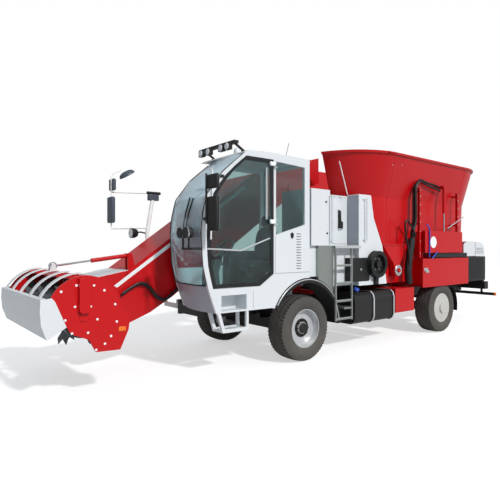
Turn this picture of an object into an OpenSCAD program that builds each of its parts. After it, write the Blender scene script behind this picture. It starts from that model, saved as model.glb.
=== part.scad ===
// Self-propelled feed mixer wagon. Millimetres, front towards -X, left side towards -Y, Z up,
// origin on the ground under the middle of the machine.

/* [Wheels] */
// Radius of each tyre
tyre_r = 525; // [518:1:530]
// Width of each tyre
tyre_w = 385; // [365:5:390]
// Radius of each rim's flange
rim_r = 308; // [296:2:316]
// Distance between the front and rear axles
wheel_base = 4160; // [4120:10:4190]
// Distance between the middles of a pair of wheels
track_w = 2110; // [2090:5:2115]
// Radius of the front stub shafts
stub_r = 40; // [34:1:46]
// Radius of the kingpins
kingpin_r = 28; // [22:1:32]

/* [Frame] */
// Height of the chassis rails
rail_h = 240; // [200:10:250]
// Outside width over the chassis rails
frame_w = 800; // [760:10:820]
// Height of the rails' top above the ground
rail_top = 950; // [940:5:960]
// Radius of the tow pin's bore
tow_bore_r = 20; // [16:0.5:24]

/* [Cab] */
// Outside width of the cab
cab_w = 1140; // [1110:5:1144]
// Thickness of the cab's walls
cab_wall = 40; // [32:1:46]
// Height of the cab roof's underside
roof_z = 3180; // [3170:2:3200]
// How far the windscreen's right edge is swept back
sweep = 150; // [120:5:170]
// How far the windscreen bulges between its edges
bulge = 90; // [60:5:110]
// Thickness of the windscreen and windows
glass_t = 8; // [6:1:10]
// Gap round the cab door
door_gap = 7; // [6:0.5:9]

/* [Tub] */
// Height of the tub's rim
rim_z = 3650; // [3600:10:3680]
// Radius of the tub's round ends at the rim
tub_rim_r = 1235; // [1220:5:1240]
// Radius of the tub's round ends at its waist
tub_waist_r = 1015; // [1005:5:1025]
// Height of the tub's waist
waist_z = 2800; // [2760:10:2840]
// Radius of the tub's round ends at the floor
tub_floor_r = 975; // [965:5:985]
// Height of the tub's floor
floor_z = 1130; // [1120:5:1140]
// Thickness of the tub's steel
tub_t = 10; // [8:1:14]
// Radius of each auger's flight at the floor
auger_r = 900; // [860:10:930]
// Radius of each auger's core
core_r = 110; // [95:5:130]
// Number of knives on each auger
knives = 7; // [3:1:9]

/* [Boom] */
// Width of the boom's channel
boom_w = 800; // [770:5:810]
// Thickness of the boom's side plates
boom_t = 12; // [10:1:16]
// Radius of the boom's pivot pins
pivot_r = 45; // [38:1:52]
// Slope of the boom
boom_slope = 34.5; // [33.5:0.1:35.5]

/* [Head] */
// Width of the milling head over its side plates
head_w = 2060; // [2000:10:2080]
// Radius of the head's side plates
head_r = 440; // [430:2:450]
// Radius of the milling drum's tube
drum_r = 255; // [235:5:275]
// Radius over the tips of the drum's teeth
tip_r = 395; // [380:5:404]
// Number of teeth along the drum
teeth = 44; // [20:2:52]

/* [Hidden] */
$fn = 64;

red = "#D3141E";
white = "#E8ECF0";
black = "#222426";
silver = "#C4C8CB";
grey = "#8C9199";
glass = "#7FA6A8";

fit = 0.05;
gap = 0.5;
side_y = -1220;
front_axle_x = -1500;
rear_axle_x = front_axle_x + wheel_base;
axle_z = tyre_r;
wheel_y = track_w / 2;

// Plain helpers: a box between two corners, a slab from a side outline, a slab from an end
// outline, a round rod and a square bar between two points, and a ring sector about Y.
module box(x0, x1, y0, y1, z0, z1) {
  translate([x0, y0, z0]) cube([x1 - x0, y1 - y0, z1 - z0]);
}
module side_slab(outline, y0, y1) {
  translate([0, y1, 0]) rotate([90, 0, 0]) linear_extrude(y1 - y0) polygon(outline);
}
module end_slab(outline, x0, x1) {
  translate([x0, 0, 0]) rotate([90, 0, 90]) linear_extrude(x1 - x0) polygon(outline);
}
module aim(p, q) {
  d = q - p;
  translate(p) rotate([0, acos(d[2] / norm(d)), atan2(d[1], d[0])]) children();
}
module rod(p, q, r) {
  aim(p, q) cylinder(h = norm(q - p), r = r);
}
module bar(p, q, w, h) {
  aim(p, q) translate([-h / 2, -w / 2, 0]) cube([h, w, norm(q - p)]);
}
module pin_y(x, y0, y1, z, r) {
  translate([x, y1, z]) rotate([90, 0, 0]) cylinder(h = y1 - y0, r = r);
}
module ring_sector(x, z, r0, r1, a0, a1, y0, y1) {
  translate([x, y1, z]) rotate([90, 0, 0]) rotate([0, 0, a0])
    rotate_extrude(angle = a1 - a0) translate([r0, 0]) square([r1 - r0, y1 - y0]);
}
function arc(x, z, r, a0, a1, n) =
  [for (i = [0 : n]) let (a = a0 + (a1 - a0) * i / n) [x + r * cos(a), z + r * sin(a)]];
function back(list) = [for (i = [len(list) - 1 : -1 : 0]) list[i]];

// A closed sheet between two grids of points, rows by columns.
module sheet(outer, inner) {
  rows = len(outer);
  cols = len(outer[0]);
  n = rows * cols;
  points = concat([for (r = outer) each r], [for (r = inner) each r]);
  function at(i, j) = i * cols + j;
  function quad(a, b, c, d) = [[a, b, c], [a, c, d]];
  faces = concat(
    [for (i = [0 : rows - 2], j = [0 : cols - 2]) each
      quad(at(i, j), at(i, j + 1), at(i + 1, j + 1), at(i + 1, j))],
    [for (i = [0 : rows - 2], j = [0 : cols - 2]) each
      quad(n + at(i, j), n + at(i + 1, j), n + at(i + 1, j + 1), n + at(i, j + 1))],
    [for (j = [0 : cols - 2]) each concat(
      quad(at(0, j), n + at(0, j), n + at(0, j + 1), at(0, j + 1)),
      quad(at(rows - 1, j + 1), n + at(rows - 1, j + 1), n + at(rows - 1, j), at(rows - 1, j)))],
    [for (i = [0 : rows - 2]) each concat(
      quad(at(i + 1, 0), n + at(i + 1, 0), n + at(i, 0), at(i, 0)),
      quad(at(i, cols - 1), n + at(i, cols - 1), n + at(i + 1, cols - 1), at(i + 1, cols - 1)))]);
  polyhedron(points = points, faces = faces);
}

// Chassis
rail_w = 80;
rail_bot = rail_top - rail_h;
rail_front = -2900;
rail_rear = 5150;
tow_x = 5380;
tow_z = 830;
axle_beam_y = 520;
gear_top = floor_z - tub_t;

module chassis_frame() color(black) difference() {
  union() {
    for (s = [-1, 1]) scale([1, s, 1])
      box(rail_front, rail_rear, frame_w / 2 - rail_w, frame_w / 2, rail_bot, rail_top);
    for (x = [rail_front, -2000, -640, 500, 2000, 3500, rail_rear - 120])
      box(x, x + 120, -frame_w / 2, frame_w / 2, rail_bot + 20, rail_top - 50);
    for (x = [front_axle_x, rear_axle_x], s = [-1, 1])
      box(x - 260, x + 260, s * (frame_w / 2 - 60) - 50, s * (frame_w / 2 - 60) + 50,
        axle_z + 95, rail_bot + 10);
    for (x = [tub_front_x, tub_rear_x])
      translate([x, 0, rail_bot - 120]) cylinder(h = gear_top - rail_bot + 120, r = 260);
    for (x = [150, 1500, 3300, 4380])
      box(x, x + 90, -480, 480, rail_top - 10, floor_z - tub_t);
    for (y = [-75, 35]) box(rail_rear - 10, tow_x + 60, y, y + 40, tow_z - 60, tow_z + 60);
  }
  for (x = [tub_front_x, tub_rear_x])
    translate([x, 0, gear_top - 200]) cylinder(h = 300, r = auger_shaft_r + fit);
  pin_y(tow_x, -100, 100, tow_z, tow_bore_r);
}

// Axles and knuckles
king_y = 850;
ear_z = 55;
ear_t = 40;

module axles() color(black) {
  difference() {
    union() {
      box(front_axle_x - 70, front_axle_x + 70, -king_y + 100, king_y - 100, axle_z - 95, axle_z + 95);
      for (s = [-1, 1], z = [axle_z - ear_z - ear_t, axle_z + ear_z])
        translate([front_axle_x, s * king_y, z]) {
          cylinder(h = ear_t, r = 75);
          translate([-60, s > 0 ? -140 : 0, 0]) cube([120, 140, ear_t]);
        }
    }
    for (s = [-1, 1]) translate([front_axle_x, s * king_y, axle_z - 200])
      cylinder(h = 400, r = kingpin_r + fit);
  }
  pin_y(rear_axle_x, -wheel_y + 95, wheel_y - 95, axle_z, 95);
  pin_y(rear_axle_x, -wheel_y - 60, wheel_y + 60, axle_z, stub_r + 10);
  translate([rear_axle_x, 0, axle_z]) sphere(r = 200);
}
module knuckle(s) color(black) {
  translate([front_axle_x, s * king_y, axle_z - ear_z - ear_t])
    cylinder(h = 2 * (ear_z + ear_t), r = kingpin_r);
  translate([front_axle_x, s * king_y, axle_z - ear_z + gap])
    cylinder(h = 2 * (ear_z - gap), r = 72);
  pin_y(front_axle_x, min(s * king_y, s * (wheel_y + 20)), max(s * king_y, s * (wheel_y + 20)),
    axle_z, stub_r);
}

// Wheels, made with the outer side towards -Y
front_dish = 120;
rear_dish = 20;
module tyre(x, s) color(black)
  translate([x, s * wheel_y, axle_z]) scale([1, -s, 1]) rotate([90, 0, 0])
    rotate_extrude() polygon(concat(
      [[rim_r, tyre_w * 0.40], [rim_r + 30, tyre_w * 0.44]],
      arc(tyre_r - 130, tyre_w * 0.34, tyre_w * 0.16, 100, 60, 2),
      arc(tyre_r - 40, tyre_w / 2 - 48, 40, 70, 0, 3),
      arc(tyre_r - 40, 48 - tyre_w / 2, 40, 0, -70, 3),
      arc(tyre_r - 130, -tyre_w * 0.34, tyre_w * 0.16, -60, -100, 2),
      [[rim_r + 30, -tyre_w * 0.44], [rim_r, -tyre_w * 0.40]]));
module rim(x, s, dish, shaft_r) color(silver)
  translate([x, s * wheel_y, axle_z]) scale([1, -s, 1]) rotate([90, 0, 0])
    rotate_extrude() polygon([[shaft_r + fit, tyre_w / 2 - dish - 40], [shaft_r + fit, -40],
      [shaft_r + 70, -40], [shaft_r + 75, tyre_w / 2 - dish - 30],
      [rim_r - 60, tyre_w / 2 - dish - 24], [rim_r - 45, -tyre_w * 0.35],
      [rim_r - 10, -tyre_w * 0.44], [rim_r - gap, -tyre_w * 0.44], [rim_r - gap, tyre_w * 0.44],
      [rim_r - 12, tyre_w * 0.44], [rim_r - 30, tyre_w / 2 - dish - 5],
      [shaft_r + 62, tyre_w / 2 - dish], [shaft_r + 55, tyre_w / 2 - dish + 30],
      [0, tyre_w / 2 - dish + 30], [0, tyre_w / 2 - dish - 40]]);

engine_x0 = 4730;
module engine_block() color(grey)
  box(engine_x0, engine_x0 + 310, -420, 420, rail_top, 1560);

// Fenders over the front wheels and mudguards behind the rear ones
fender_z = axle_z + 5;
fender_x = front_axle_x + 50;
fender_r = 790;
rear_fender_r = 640;
fender_w = 350;
fender_out = 1225;
stalk_x = fender_x + 120;
module fenders() color(black) for (s = [-1, 1]) scale([1, s, 1]) {
  ring_sector(fender_x, fender_z, fender_r - 70, fender_r, 0, 152, fender_out - fender_w, fender_out);
  box(stalk_x, stalk_x + 80, frame_w / 2, fender_out - fender_w + 20, 1240, 1280);
  box(stalk_x, stalk_x + 80, frame_w / 2 - 50, frame_w / 2 + 5, rail_top, 1280);
  ring_sector(rear_axle_x, axle_z, rear_fender_r - 12, rear_fender_r, -10, 40, 860, 1240);
  box(rear_axle_x + 480, rear_axle_x + 520, frame_w / 2, 870, rail_top - 60, rail_top - 20);
}

// Left black tank with straps, and the matching tank on the right
tank_x0 = -270;
tank_x1 = 890;
module left_tank() color(black) for (s = [-1, 1]) {
  scale([1, s, 1]) {
    end_slab([[500, 1000], [1150, 1000], [1200, 950], [1220, 880], [1220, 560], [1190, 490],
      [1120, 450], [500, 450]], tank_x0, tank_x1);
    for (x = [250, tank_x1 - 20])
      end_slab([[480, 1012], [1156, 1012], [1210, 958], [1232, 884], [1232, 556], [1200, 480],
        [1124, 438], [480, 438]], x, x + 35);
    box(tank_x0 + 100, tank_x1 - 100, frame_w / 2, 510, 720, 900);
    translate([tank_x0 + 90, 1130, 960]) rotate([-25, 0, 0]) cylinder(h = 110, r = 45);
  }
}
module red_box() color(red) {
  box(970, 1610, side_y + 10, -560, 555, 1020);
  box(1000, 1580, -570, -frame_w / 2, 740, 900);
}

// Cab outline: height and the X of the front edge there
cab_front = [[640, -3120], [1000, -3260], [1300, -3370], [1600, -3440], [2020, -3460],
  [2280, -3436], [2550, -3365], [2880, -3100], [3210, -2690]];
cab_back = -1410;
cab_left = side_y;
cab_right = side_y + cab_w;
cab_low = 910;
door_back = -2180;
door_low = 1250;
door_top = roof_z - 40;
pillar_w = 75;
nose_top = 1300;
floor_low = 1180;
floor_high = 1215;
win_front = door_back + 45;
win_back = cab_back - 110;
win_top = roof_z - 60;
function front_at(z) = lookup(z, cab_front);
function front_line(inset, z0, z1, n) =
  [for (i = [0 : n]) let (z = z0 + (z1 - z0) * i / n) [front_at(z) + inset, z]];
function door_outline(g) = concat(
  front_line(pillar_w + g, door_low + g, door_top - g, 12),
  [[door_back - g, door_top - g], [door_back - g, 1420 + g * 0.4],
    [door_back - 270 - g * 0.4, door_low + g]]);
window_outline = [[win_front, 2010], [win_front, win_top], [win_back, win_top - 30],
  [win_back, 2180]];
right_window = concat(front_line(pillar_w + sweep, 1500, win_top, 10),
  [[win_back, win_top], [win_back, 1500]]);

recess = [-3140, -2700, 935, 1150];
arch_r = fender_r + 12;
arch_in = fender_out - fender_w - 10;
hinge_zs = [2200, roof_z - 120];
module cab_shell() color(white) {
  difference() {
    side_slab(concat(front_line(0, cab_low, roof_z, 14), [[cab_back, roof_z],
      [cab_back, fender_z + arch_r]],
      arc(fender_x, fender_z, arch_r, 87, 153, 10), [[-2200, cab_low]]),
      cab_left, cab_left + cab_wall);
    side_slab(door_outline(0), cab_left - 50, cab_left + cab_wall + 10);
    side_slab(window_outline, cab_left - 50, cab_left + cab_wall + 10);
    box(recess[0], recess[1], cab_left - 50, cab_left + cab_wall + 10, recess[2], recess[3]);
    for (z = [1480 : 42 : 2055]) box(-1705, -1600, cab_left - 5, cab_left + cab_wall + 5, z, z + 12);
  }
  difference() {
    side_slab(concat(front_line(sweep, cab_low, roof_z, 14), [[cab_back, roof_z],
      [cab_back, floor_low - 20], [-2200, cab_low]]), cab_right - cab_wall, cab_right);
    side_slab(right_window, cab_right - cab_wall - 10, cab_right + 10);
  }
  difference() {
    union() {
      box(cab_back - cab_wall, cab_back, cab_left + 5, cab_right - 5, floor_low, roof_z);
      box(front_at(floor_low) + sweep + 60, cab_back - 5, cab_left + 5, cab_right - 5,
        floor_low, floor_high);
    }
    box(cab_back - cab_wall - 10, cab_back + 10, cab_left + 120, cab_right - 120, 1950, win_top);
    pin_y(fender_x, cab_left - 50, -arch_in, fender_z, arch_r);
  }
  for (x = [-2600, -1700]) {
    box(x, x + 90, -arch_in, cab_right - 40, floor_low - 70, floor_low + 5);
    box(x, x + 90, -frame_w / 2 + 10, -frame_w / 2 + rail_w - 10, rail_top, floor_low - 65);
  }
  for (z = hinge_zs, s = [-1, 1]) {
    box(hinge_x, hinge_x + 40, hinge_y - 14, cab_left + 2, z + s * 33.5 - 5, z + s * 33.5 + 5);
    translate([hinge_x, hinge_y, z + s * 33.5 - 5]) cylinder(h = 10, r = 14);
  }
}

// Front glass and nose: a grid that follows the outline in height and a swept curve in width
glass_cols = 10;
function plan_at(s) = sweep * s - bulge * 4 * s * (1 - s);
function front_grid(z0, z1, rows, inset, side) =
  [for (i = [0 : rows]) let (z = z0 + (z1 - z0) * i / rows)
    [for (j = [0 : glass_cols]) let (s = j / glass_cols)
      [front_at(z) + plan_at(s) + inset,
        cab_left + side + s * (cab_w - 2 * side), z]]];
module front_skin(z0, z1, rows, inset, t, side)
  sheet(front_grid(z0, z1, rows, inset, side), front_grid(z0, z1, rows, inset + t, side));

module cab_nose() color(grey) {
  front_skin(cab_low, nose_top - 10, 3, 4, 14, cab_wall);
}
module windscreen() color(glass) front_skin(nose_top, roof_z - 2, 14, 4, glass_t, cab_wall);
module cab_windows() color(glass) {
  side_slab(window_outline, cab_left + 12, cab_left + 12 + glass_t);
  side_slab(right_window, cab_right - 20, cab_right - 20 + glass_t);
  box(cab_back - 20, cab_back - 20 + glass_t, cab_left + 120, cab_right - 120, 1950, win_top);
}
module cab_roof() color(white) {
  side_slab([[front_at(roof_z) - 20, roof_z], [front_at(roof_z) + 60, roof_z + 45],
    [-2300, roof_z + 62], [cab_back - 40, roof_z + 50], [cab_back + 5, roof_z + 25],
    [cab_back + 5, roof_z]], cab_left, cab_right);
}

// Seat, steering column and wheel, and side console
seat_x = -2060;
seat_y = -640;
module cab_seat() color(black) {
  box(seat_x - 180, seat_x + 180, seat_y - 150, seat_y + 150, floor_high, 1480);
  side_slab([[seat_x - 260, 1480], [seat_x - 270, 1590], [seat_x + 110, 1570],
    [seat_x + 200, 2160], [seat_x + 290, 2160], [seat_x + 240, 1480]],
    seat_y - 240, seat_y + 240);
  side_slab([[seat_x + 205, 2155], [seat_x + 215, 2350], [seat_x + 285, 2350],
    [seat_x + 288, 2155]], seat_y - 120, seat_y + 120);
}
module cab_controls() color(black) {
  side_slab([[-3020, floor_high], [-3000, 1500], [-2860, 1690], [-2790, 1640], [-2860, 1450],
    [-2830, floor_high]], seat_y - 110, seat_y + 110);
  rod([-2850, seat_y, 1650], [-2700, seat_y, 1800], 30);
  translate([-2700, seat_y, 1800]) rotate([0, -45, 0]) {
    rotate_extrude() translate([190, 0]) circle(r = 16, $fn = 16);
    for (a = [90, 210, 330]) rotate([0, 0, a]) translate([0, -14, -6]) cube([186, 28, 12]);
    cylinder(h = 16, r = 46, center = true);
  }
  box(-2350, -1600, cab_right - cab_wall - 190, cab_right - cab_wall - 20, floor_high, 1760);
}
step_y = cab_left + 2;
module step_side(top, y0, y1)
  side_slab([[-3202, top], [-3112, 630], [-2660, 630], [-2660, top], [-2700, top],
    [-2700, 680], [-3080, 680], [-3150, top]], y0, y1);
module cab_steps() color(white) {
  difference() {
    box(recess[0] - 20, recess[1] + 20, cab_left + cab_wall + 0.3, step_y + 260,
      recess[2] - 20, recess[3] + 20);
    box(recess[0], recess[1], cab_left, step_y + 240, recess[2], recess[3]);
  }
  step_side(cab_low - 0.3, step_y, step_y + 38);
  step_side(recess[2] - 15, step_y + 220, step_y + 260);
  box(-3110, -2665, step_y, step_y + 260, 630, 670);
}

// Lamps: a roof bar, a beacon, a pair of round headlamps on a bracket
bar_x = -2790;
roof_top_z = roof_z + 50;
lamp_z = 2015;
lamp_ys = [-1105, -955];
bracket_z = 1800;
module work_lamps() color(black) {
  box(bar_x - 40, bar_x + 40, cab_left + 120, cab_right - 80, roof_z + 150, roof_z + 190);
  for (y = [cab_left + 180, cab_right - 180]) {
    bar([bar_x, y, roof_z + 165], [-2610, y, roof_top_z + 12], 40, 20);
    box(-2640, -2580, y - 30, y + 30, roof_top_z - 0.5, roof_top_z + 12);
  }
  for (y = [cab_left + 240, cab_left + 400, cab_right - 400, cab_right - 200])
    box(bar_x - 90, bar_x - 30, y - 60, y + 60, roof_z + 60, roof_z + 155);
  for (y = lamp_ys) {
    translate([-3650, y, lamp_z]) rotate([0, 90, 0]) cylinder(h = 90, r = 74);
    rod([-3590, y, lamp_z - 60], [-3590, y, bracket_z], 14);
  }
  rod([-3590, side_y + 10, bracket_z], [-3590, -935, bracket_z], 16);
  rod([-3590, side_y + 20, bracket_z], [front_at(bracket_z + 14) - fit, side_y + 20, bracket_z], 14);
}
module left_mirrors() color(black) {
  rod([-3460, -1330, 2130], [-3460, -1330, 2790], 14);
  rod([-3460, -1330, 2752], [-3125, side_y - 12, 2800], 11);
  rod([-3460, -1330, 2168], [-3410, side_y - 8, 2200], 11);
  box(-3150, -3100, side_y - 14, side_y, 2780, 2820);
  box(-3435, -3385, side_y - 14, side_y, 2180, 2220);
  box(-3454, -3405, -1560, -1335, 2590, 2770);
  box(-3454, -3395, -1550, -1325, 2040, 2480);
}
post_x = -3100;
post_y = 1040;
module right_mirrors() color(white) {
  rod([post_x, post_y, 1180], [post_x - 20, 1100, 2100], 32);
  rod([post_x - 20, 1100, 2080], [post_x + 40, 1140, 2790], 24);
  box(-2890, -2810, frame_w / 2, frame_w / 2 + 70, rail_bot + 100, rail_top - 10);
  box(-2890, -2820, frame_w / 2 + 60, 900, rail_bot + 80, rail_bot + 150);
  bar([-2855, 868, 840], [post_x, post_y, 1200], 60, 60);
  rod([post_x + 40, 1140, 2770], [-3640, 1430, 2790], 12);
  rod([post_x - 15, 1105, 2160], [-3640, 1430, 2150], 12);
  rod([-3640, 1430, 2140], [-3640, 1430, 3120], 12);
  rod([-3640, 1430, 3110], [-3440, 1480, 3200], 10);
  box(-3665, -3600, 1400, 1560, 2200, 2730);
  box(-3660, -3610, 1400, 1560, 2850, 3060);
  translate([-3440, 1440, 3180]) rotate([0, 20, 0]) cylinder(h = 40, r = 110);
  translate([-3300, 1150, 2040]) rotate([0, 90, 0]) cylinder(h = 110, r = 75);
  rod([-3250, 1150, 2100], [post_x - 17, 1095, 2060], 14);
}

// Cabinets on the left between cab and tub, with the platform and ladder
cab_a0 = -1370;
cab_a1 = -920;
cab_b1 = -160;
cabinet_top = 2770;
deck_z = 1850;
door_x0 = -560;
cabinet_back = -520;
cabinet_c = [[cab_b1, 1140], [cab_b1, cabinet_top], [190, cabinet_top], [270, 2360],
  [535, deck_z], [670, 1140]];
cabinet_in = -950;
module grab_rail(p, q, out) {
  over = 16 * (q - p) / norm(q - p);
  rod(p, p + out, 9);
  rod(q, q + out, 9);
  rod(p + out - over, q + out + over, 13);
}
module cabinets() color(white) {
  grab_rail([-948, side_y + 6, 1920], [-948, side_y + 6, 2680], [16, -54, 0]);
  grab_rail([-60, side_y + 6, 1960], [-60, side_y + 6, 2690], [70, -56, 0]);
  box(cab_a0, cab_a1, side_y, cabinet_back, deck_z, cabinet_top + 10);
  box(-1400, -1201, side_y + 60, cabinet_back, fender_z + fender_r + 20, deck_z);
  for (y = [cabinet_back - 60, -frame_w / 2 - 60])
    box(-1240, -1180, y, y + 60, rail_top, deck_z);
  box(-1240, -1180, cabinet_back - 60, -frame_w / 2 + 60, rail_top, rail_top + 40);
  difference() {
    box(cab_a1, cab_b1, -960, cabinet_back, deck_z, cabinet_top - 20);
    box(door_x0, cab_b1 - 8, -1000, -560, deck_z + 30, cabinet_top - 50);
  }
  for (z = [deck_z + 60, deck_z + 790]) difference() {
    union() {
      translate([hinge_pin_x, hinge_pin_y, z]) cylinder(h = 30, r = 9);
      box(hinge_pin_x - 30, hinge_pin_x, hinge_pin_y - 5, -958, z, z + 30);
    }
    translate([hinge_pin_x, hinge_pin_y, z - 5]) cylinder(h = 40, r = 5 + fit);
  }
  difference() {
    side_slab(cabinet_c, side_y, cabinet_in);
    box(-405, 140, side_y - 20, cabinet_in + 10, 1210, 1640);
  }
  box(cab_b1 - 1, 141, side_y + 4, cabinet_in, 1209, 1641);
  for (x = [-130, -20]) {
    box(x, x + 70, cabinet_in - 5, -frame_w / 2 + 60, 1140, 1200);
    box(x, x + 70, -frame_w / 2, -frame_w / 2 + 60, rail_top, 1145);
  }
}
module side_panel() color(grey)
  side_slab(concat([[-1200, deck_z]], back(arc(fender_x, fender_z, arch_r, 39.5, 71.8, 8)),
    [[-832, deck_z]]), side_y + 2, side_y + 200);
hinge_pin_x = door_x0 - 6;
hinge_pin_y = -975;
module cabinet_door() color(white) {
  box(door_x0 + 4, cab_b1 - 14, -966, -948, deck_z + 36, cabinet_top - 56);
  translate([hinge_pin_x, hinge_pin_y, deck_z + 60]) cylinder(h = 760, r = 5);
  translate([hinge_pin_x, hinge_pin_y, deck_z + 95]) cylinder(h = 690, r = 9);
  box(door_x0 - 4, door_x0 + 30, -980, -963, deck_z + 100, deck_z + 780);
  rod([-400, -985, 2250], [-400, -985, 2480], 14);
  box(-425, -335, -1000, -960, 2150, 2270);
}
ladder_y = side_y - 42;
ladder_t = 30;
module platform() color(silver) {
  box(-830, cab_b1 - 1, ladder_y, -961, deck_z - 40, deck_z - 0.3);
  for (x = [-830, -410]) box(x, x + 30, ladder_y, ladder_y + ladder_t, 570, deck_z - 20);
  for (z = [600, 905, 1210, 1510])
    box(-830, -380, ladder_y, ladder_y + ladder_t, z - 15, z + 15);
  for (z = [760, 1190]) box(-600, -400, ladder_y + 5, -frame_w / 2, z, z + 30);
}
reel_x = 300;
reel_z = 1515;
module hose_reel() color(black) {
  pin_y(reel_x, side_y - 25, side_y, reel_z, 245);
  difference() {
    pin_y(reel_x, side_y - 110, side_y - 24, reel_z, 235);
    pin_y(reel_x, side_y - 120, side_y - 50, reel_z, 175);
  }
  pin_y(reel_x, side_y - 100, side_y - 24, reel_z, 70);
  box(reel_x - 40, reel_x + 40, side_y - 60, side_y, 1145, 1330);
}

// Tub: two half cones joined by straight walls
tub_front_x = 970;
tub_rear_x = 3700;
auger_shaft_r = 60;
notch_z = 2600;
tub_fn = 200;
outlet_x0 = 1990;
outlet_x1 = 3470;
outlet_z0 = 1620;
outlet_z1 = 2150;
module wall_section() polygon([[tub_floor_r - tub_t, floor_z - tub_t], [tub_floor_r, floor_z - tub_t],
  [tub_waist_r, waist_z], [tub_rim_r - 8, rim_z - 45], [tub_rim_r + 20, rim_z - 45],
  [tub_rim_r + 24, rim_z], [tub_rim_r - tub_t, rim_z], [tub_waist_r - tub_t, waist_z],
  [tub_floor_r - tub_t, floor_z]]);
module tub() color(red) difference() {
  union() {
    translate([tub_front_x, 0, 0]) rotate([0, 0, 90])
      rotate_extrude(angle = 180, $fn = tub_fn) wall_section();
    translate([tub_rear_x, 0, 0]) rotate([0, 0, -90])
      rotate_extrude(angle = 180, $fn = tub_fn) wall_section();
    for (s = [-1, 1]) scale([1, s, 1])
      translate([tub_front_x, 0, 0]) rotate([90, 0, 90])
        linear_extrude(tub_rear_x - tub_front_x) wall_section();
    translate([0, 0, floor_z - tub_t]) linear_extrude(tub_t) {
      for (x = [tub_front_x, tub_rear_x]) translate([x, 0]) circle(r = tub_floor_r - 3, $fn = tub_fn);
      translate([tub_front_x, -tub_floor_r + 3])
        square([tub_rear_x - tub_front_x, 2 * tub_floor_r - 6]);
    }
    for (y = [-340, -272, 260, 328])
      union() {
        box(tub_rear_x + 940, pin_x, y, y + 12, pin_z - 13, pin_z + 13);
        pin_y(pin_x, y, y + 12, pin_z, 13);
      }
  }
  pin_y(pin_x, -400, 400, pin_z, 10 + fit);
  box(tub_front_x - tub_rim_r - 235, tub_front_x - 250, -380, 870, notch_z, rim_z + 100);
  box(outlet_x0 + 40, outlet_x1 - 40, -1400, -800, outlet_z0 + 40, outlet_z1 - 30);
  for (x = [tub_front_x, tub_rear_x])
    translate([x, 0, floor_z - 100]) cylinder(h = 200, r = auger_shaft_r + 1);
}

// Auger: a core, one flight that narrows as it climbs, and knives along its edge
auger_top = 3000;
auger_foot = floor_z + 12;
turns = 2.6;
steps = 60;
flight_t = 14;
knife_t = 12;
knife_out = 35;
function flight_r(u) = core_r + 40 + (auger_r - core_r - 40) * pow(1 - u, 0.8);
function flight_pt(u, r, dz) =
  [r * cos(360 * turns * u), r * sin(360 * turns * u), auger_foot + 10 + (auger_top - auger_foot - 120) * u + dz];
module knife(u) translate([0, 0, flight_pt(u, 0, flight_t - 3)[2]]) rotate([0, 0, 360 * turns * u])
  rotate([atan((auger_top - auger_foot - 120) / turns / (2 * PI * flight_r(u))), 0, 0])
    linear_extrude(knife_t) polygon([[flight_r(u) - 150, 0], [flight_r(u), 0],
      [flight_r(u) + knife_out, 40], [flight_r(u) + knife_out - 10, 110], [flight_r(u) - 120, 100]]);
module auger(x) color(silver) translate([x, 0, 0]) {
  translate([0, 0, gear_top - 180]) cylinder(h = auger_foot - gear_top + 182, r = auger_shaft_r);
  translate([0, 0, auger_foot]) cylinder(h = auger_top - auger_foot, r1 = core_r + 60, r2 = core_r);
  sheet([for (i = [0 : steps]) let (u = i / steps)
      [flight_pt(u, core_r - 20, 0), flight_pt(u, flight_r(u), 0)]],
    [for (i = [0 : steps]) let (u = i / steps)
      [flight_pt(u, core_r - 20, flight_t), flight_pt(u, flight_r(u), flight_t)]]);
  for (k = [1 : knives]) knife(0.9 * k / knives);
}
module auger_front() auger(tub_front_x);
module auger_rear() auger(tub_rear_x);

// Discharge: perforated rails, cylinder barrel, cheeks, funnel box, lower box with its belt
function tub_r_at(z) =
  lookup(z, [[floor_z, tub_floor_r], [waist_z, tub_waist_r], [rim_z - 45, tub_rim_r - 8]]);
rail_xs = [1850, 3400];
cyl_x = 2790;
cyl_y = -1200;
rod_r = 18;
module discharge_rails() color(red) {
  for (x = rail_xs) {
    difference() {
      box(x, x + 50, -1190, -1140, 1600, 3050);
      for (z = [2250 : 90 : 3000]) translate([x + 25, -1195, z]) rotate([-90, 0, 0])
        cylinder(h = 60, r = 12);
    }
    for (z = [2300, 2950]) box(x, x + 50, -1145, -tub_r_at(z + 40) - 0.3, z, z + 40);
  }
  for (x = [outlet_x0 - 20, outlet_x1])
    box(x, x + 20, -1180, -tub_r_at(outlet_z1) - 0.3, outlet_z0, outlet_z1);
  difference() {
    rod([cyl_x, cyl_y, 2560], [cyl_x, cyl_y, 3120], 32);
    rod([cyl_x, cyl_y, 2550], [cyl_x, cyl_y, 3090], rod_r + fit);
  }
  box(cyl_x - 40, cyl_x + 40, -1215, -tub_r_at(3160) - 0.3, 3100, 3160);
  side_slab([[700, 1890], [1550, 1890], [1290, 1500], [1280, 1250], [1130, 1250], [1080, 1500]],
    -1100, -tub_r_at(1890) - 0.3);
  pin_y(1180, -1130, -1098, 1370, 105);
  pin_y(1180, -1165, -1128, 1370, 38);
}
box_y = -1268;
box_low = 1075;
module discharge_box() color(red) {
  difference() {
    box(1840, 3750, box_y, -990, box_low, 1590);
    box(1860, 3730, box_y + 12, -1002, box_low + 12, 1600);
  }
  box(1840, 3750, box_y, box_y + 12, 1000, box_low + 5);
  box(1870, 3720, box_y + 30, -1015, 1500, 1550);
  for (x = [1880, 3690]) box(x, x + 20, box_y + 10, -995, box_low + 5, 1520);
  for (x = [2000, 3500]) {
    box(x, x + 60, -1200, -frame_w / 2 + 60, 1003, box_low);
    box(x, x + 60, -frame_w / 2, -frame_w / 2 + 60, rail_top, 1010);
  }
}
module discharge_door() color(red) {
  difference() {
    box(outlet_x0 - 30, outlet_x1 + 30, -1250, -1195, 1710, 2170);
    box(outlet_x0, outlet_x1, -1238, -1190, 1730, 2150);
  }
}
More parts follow.
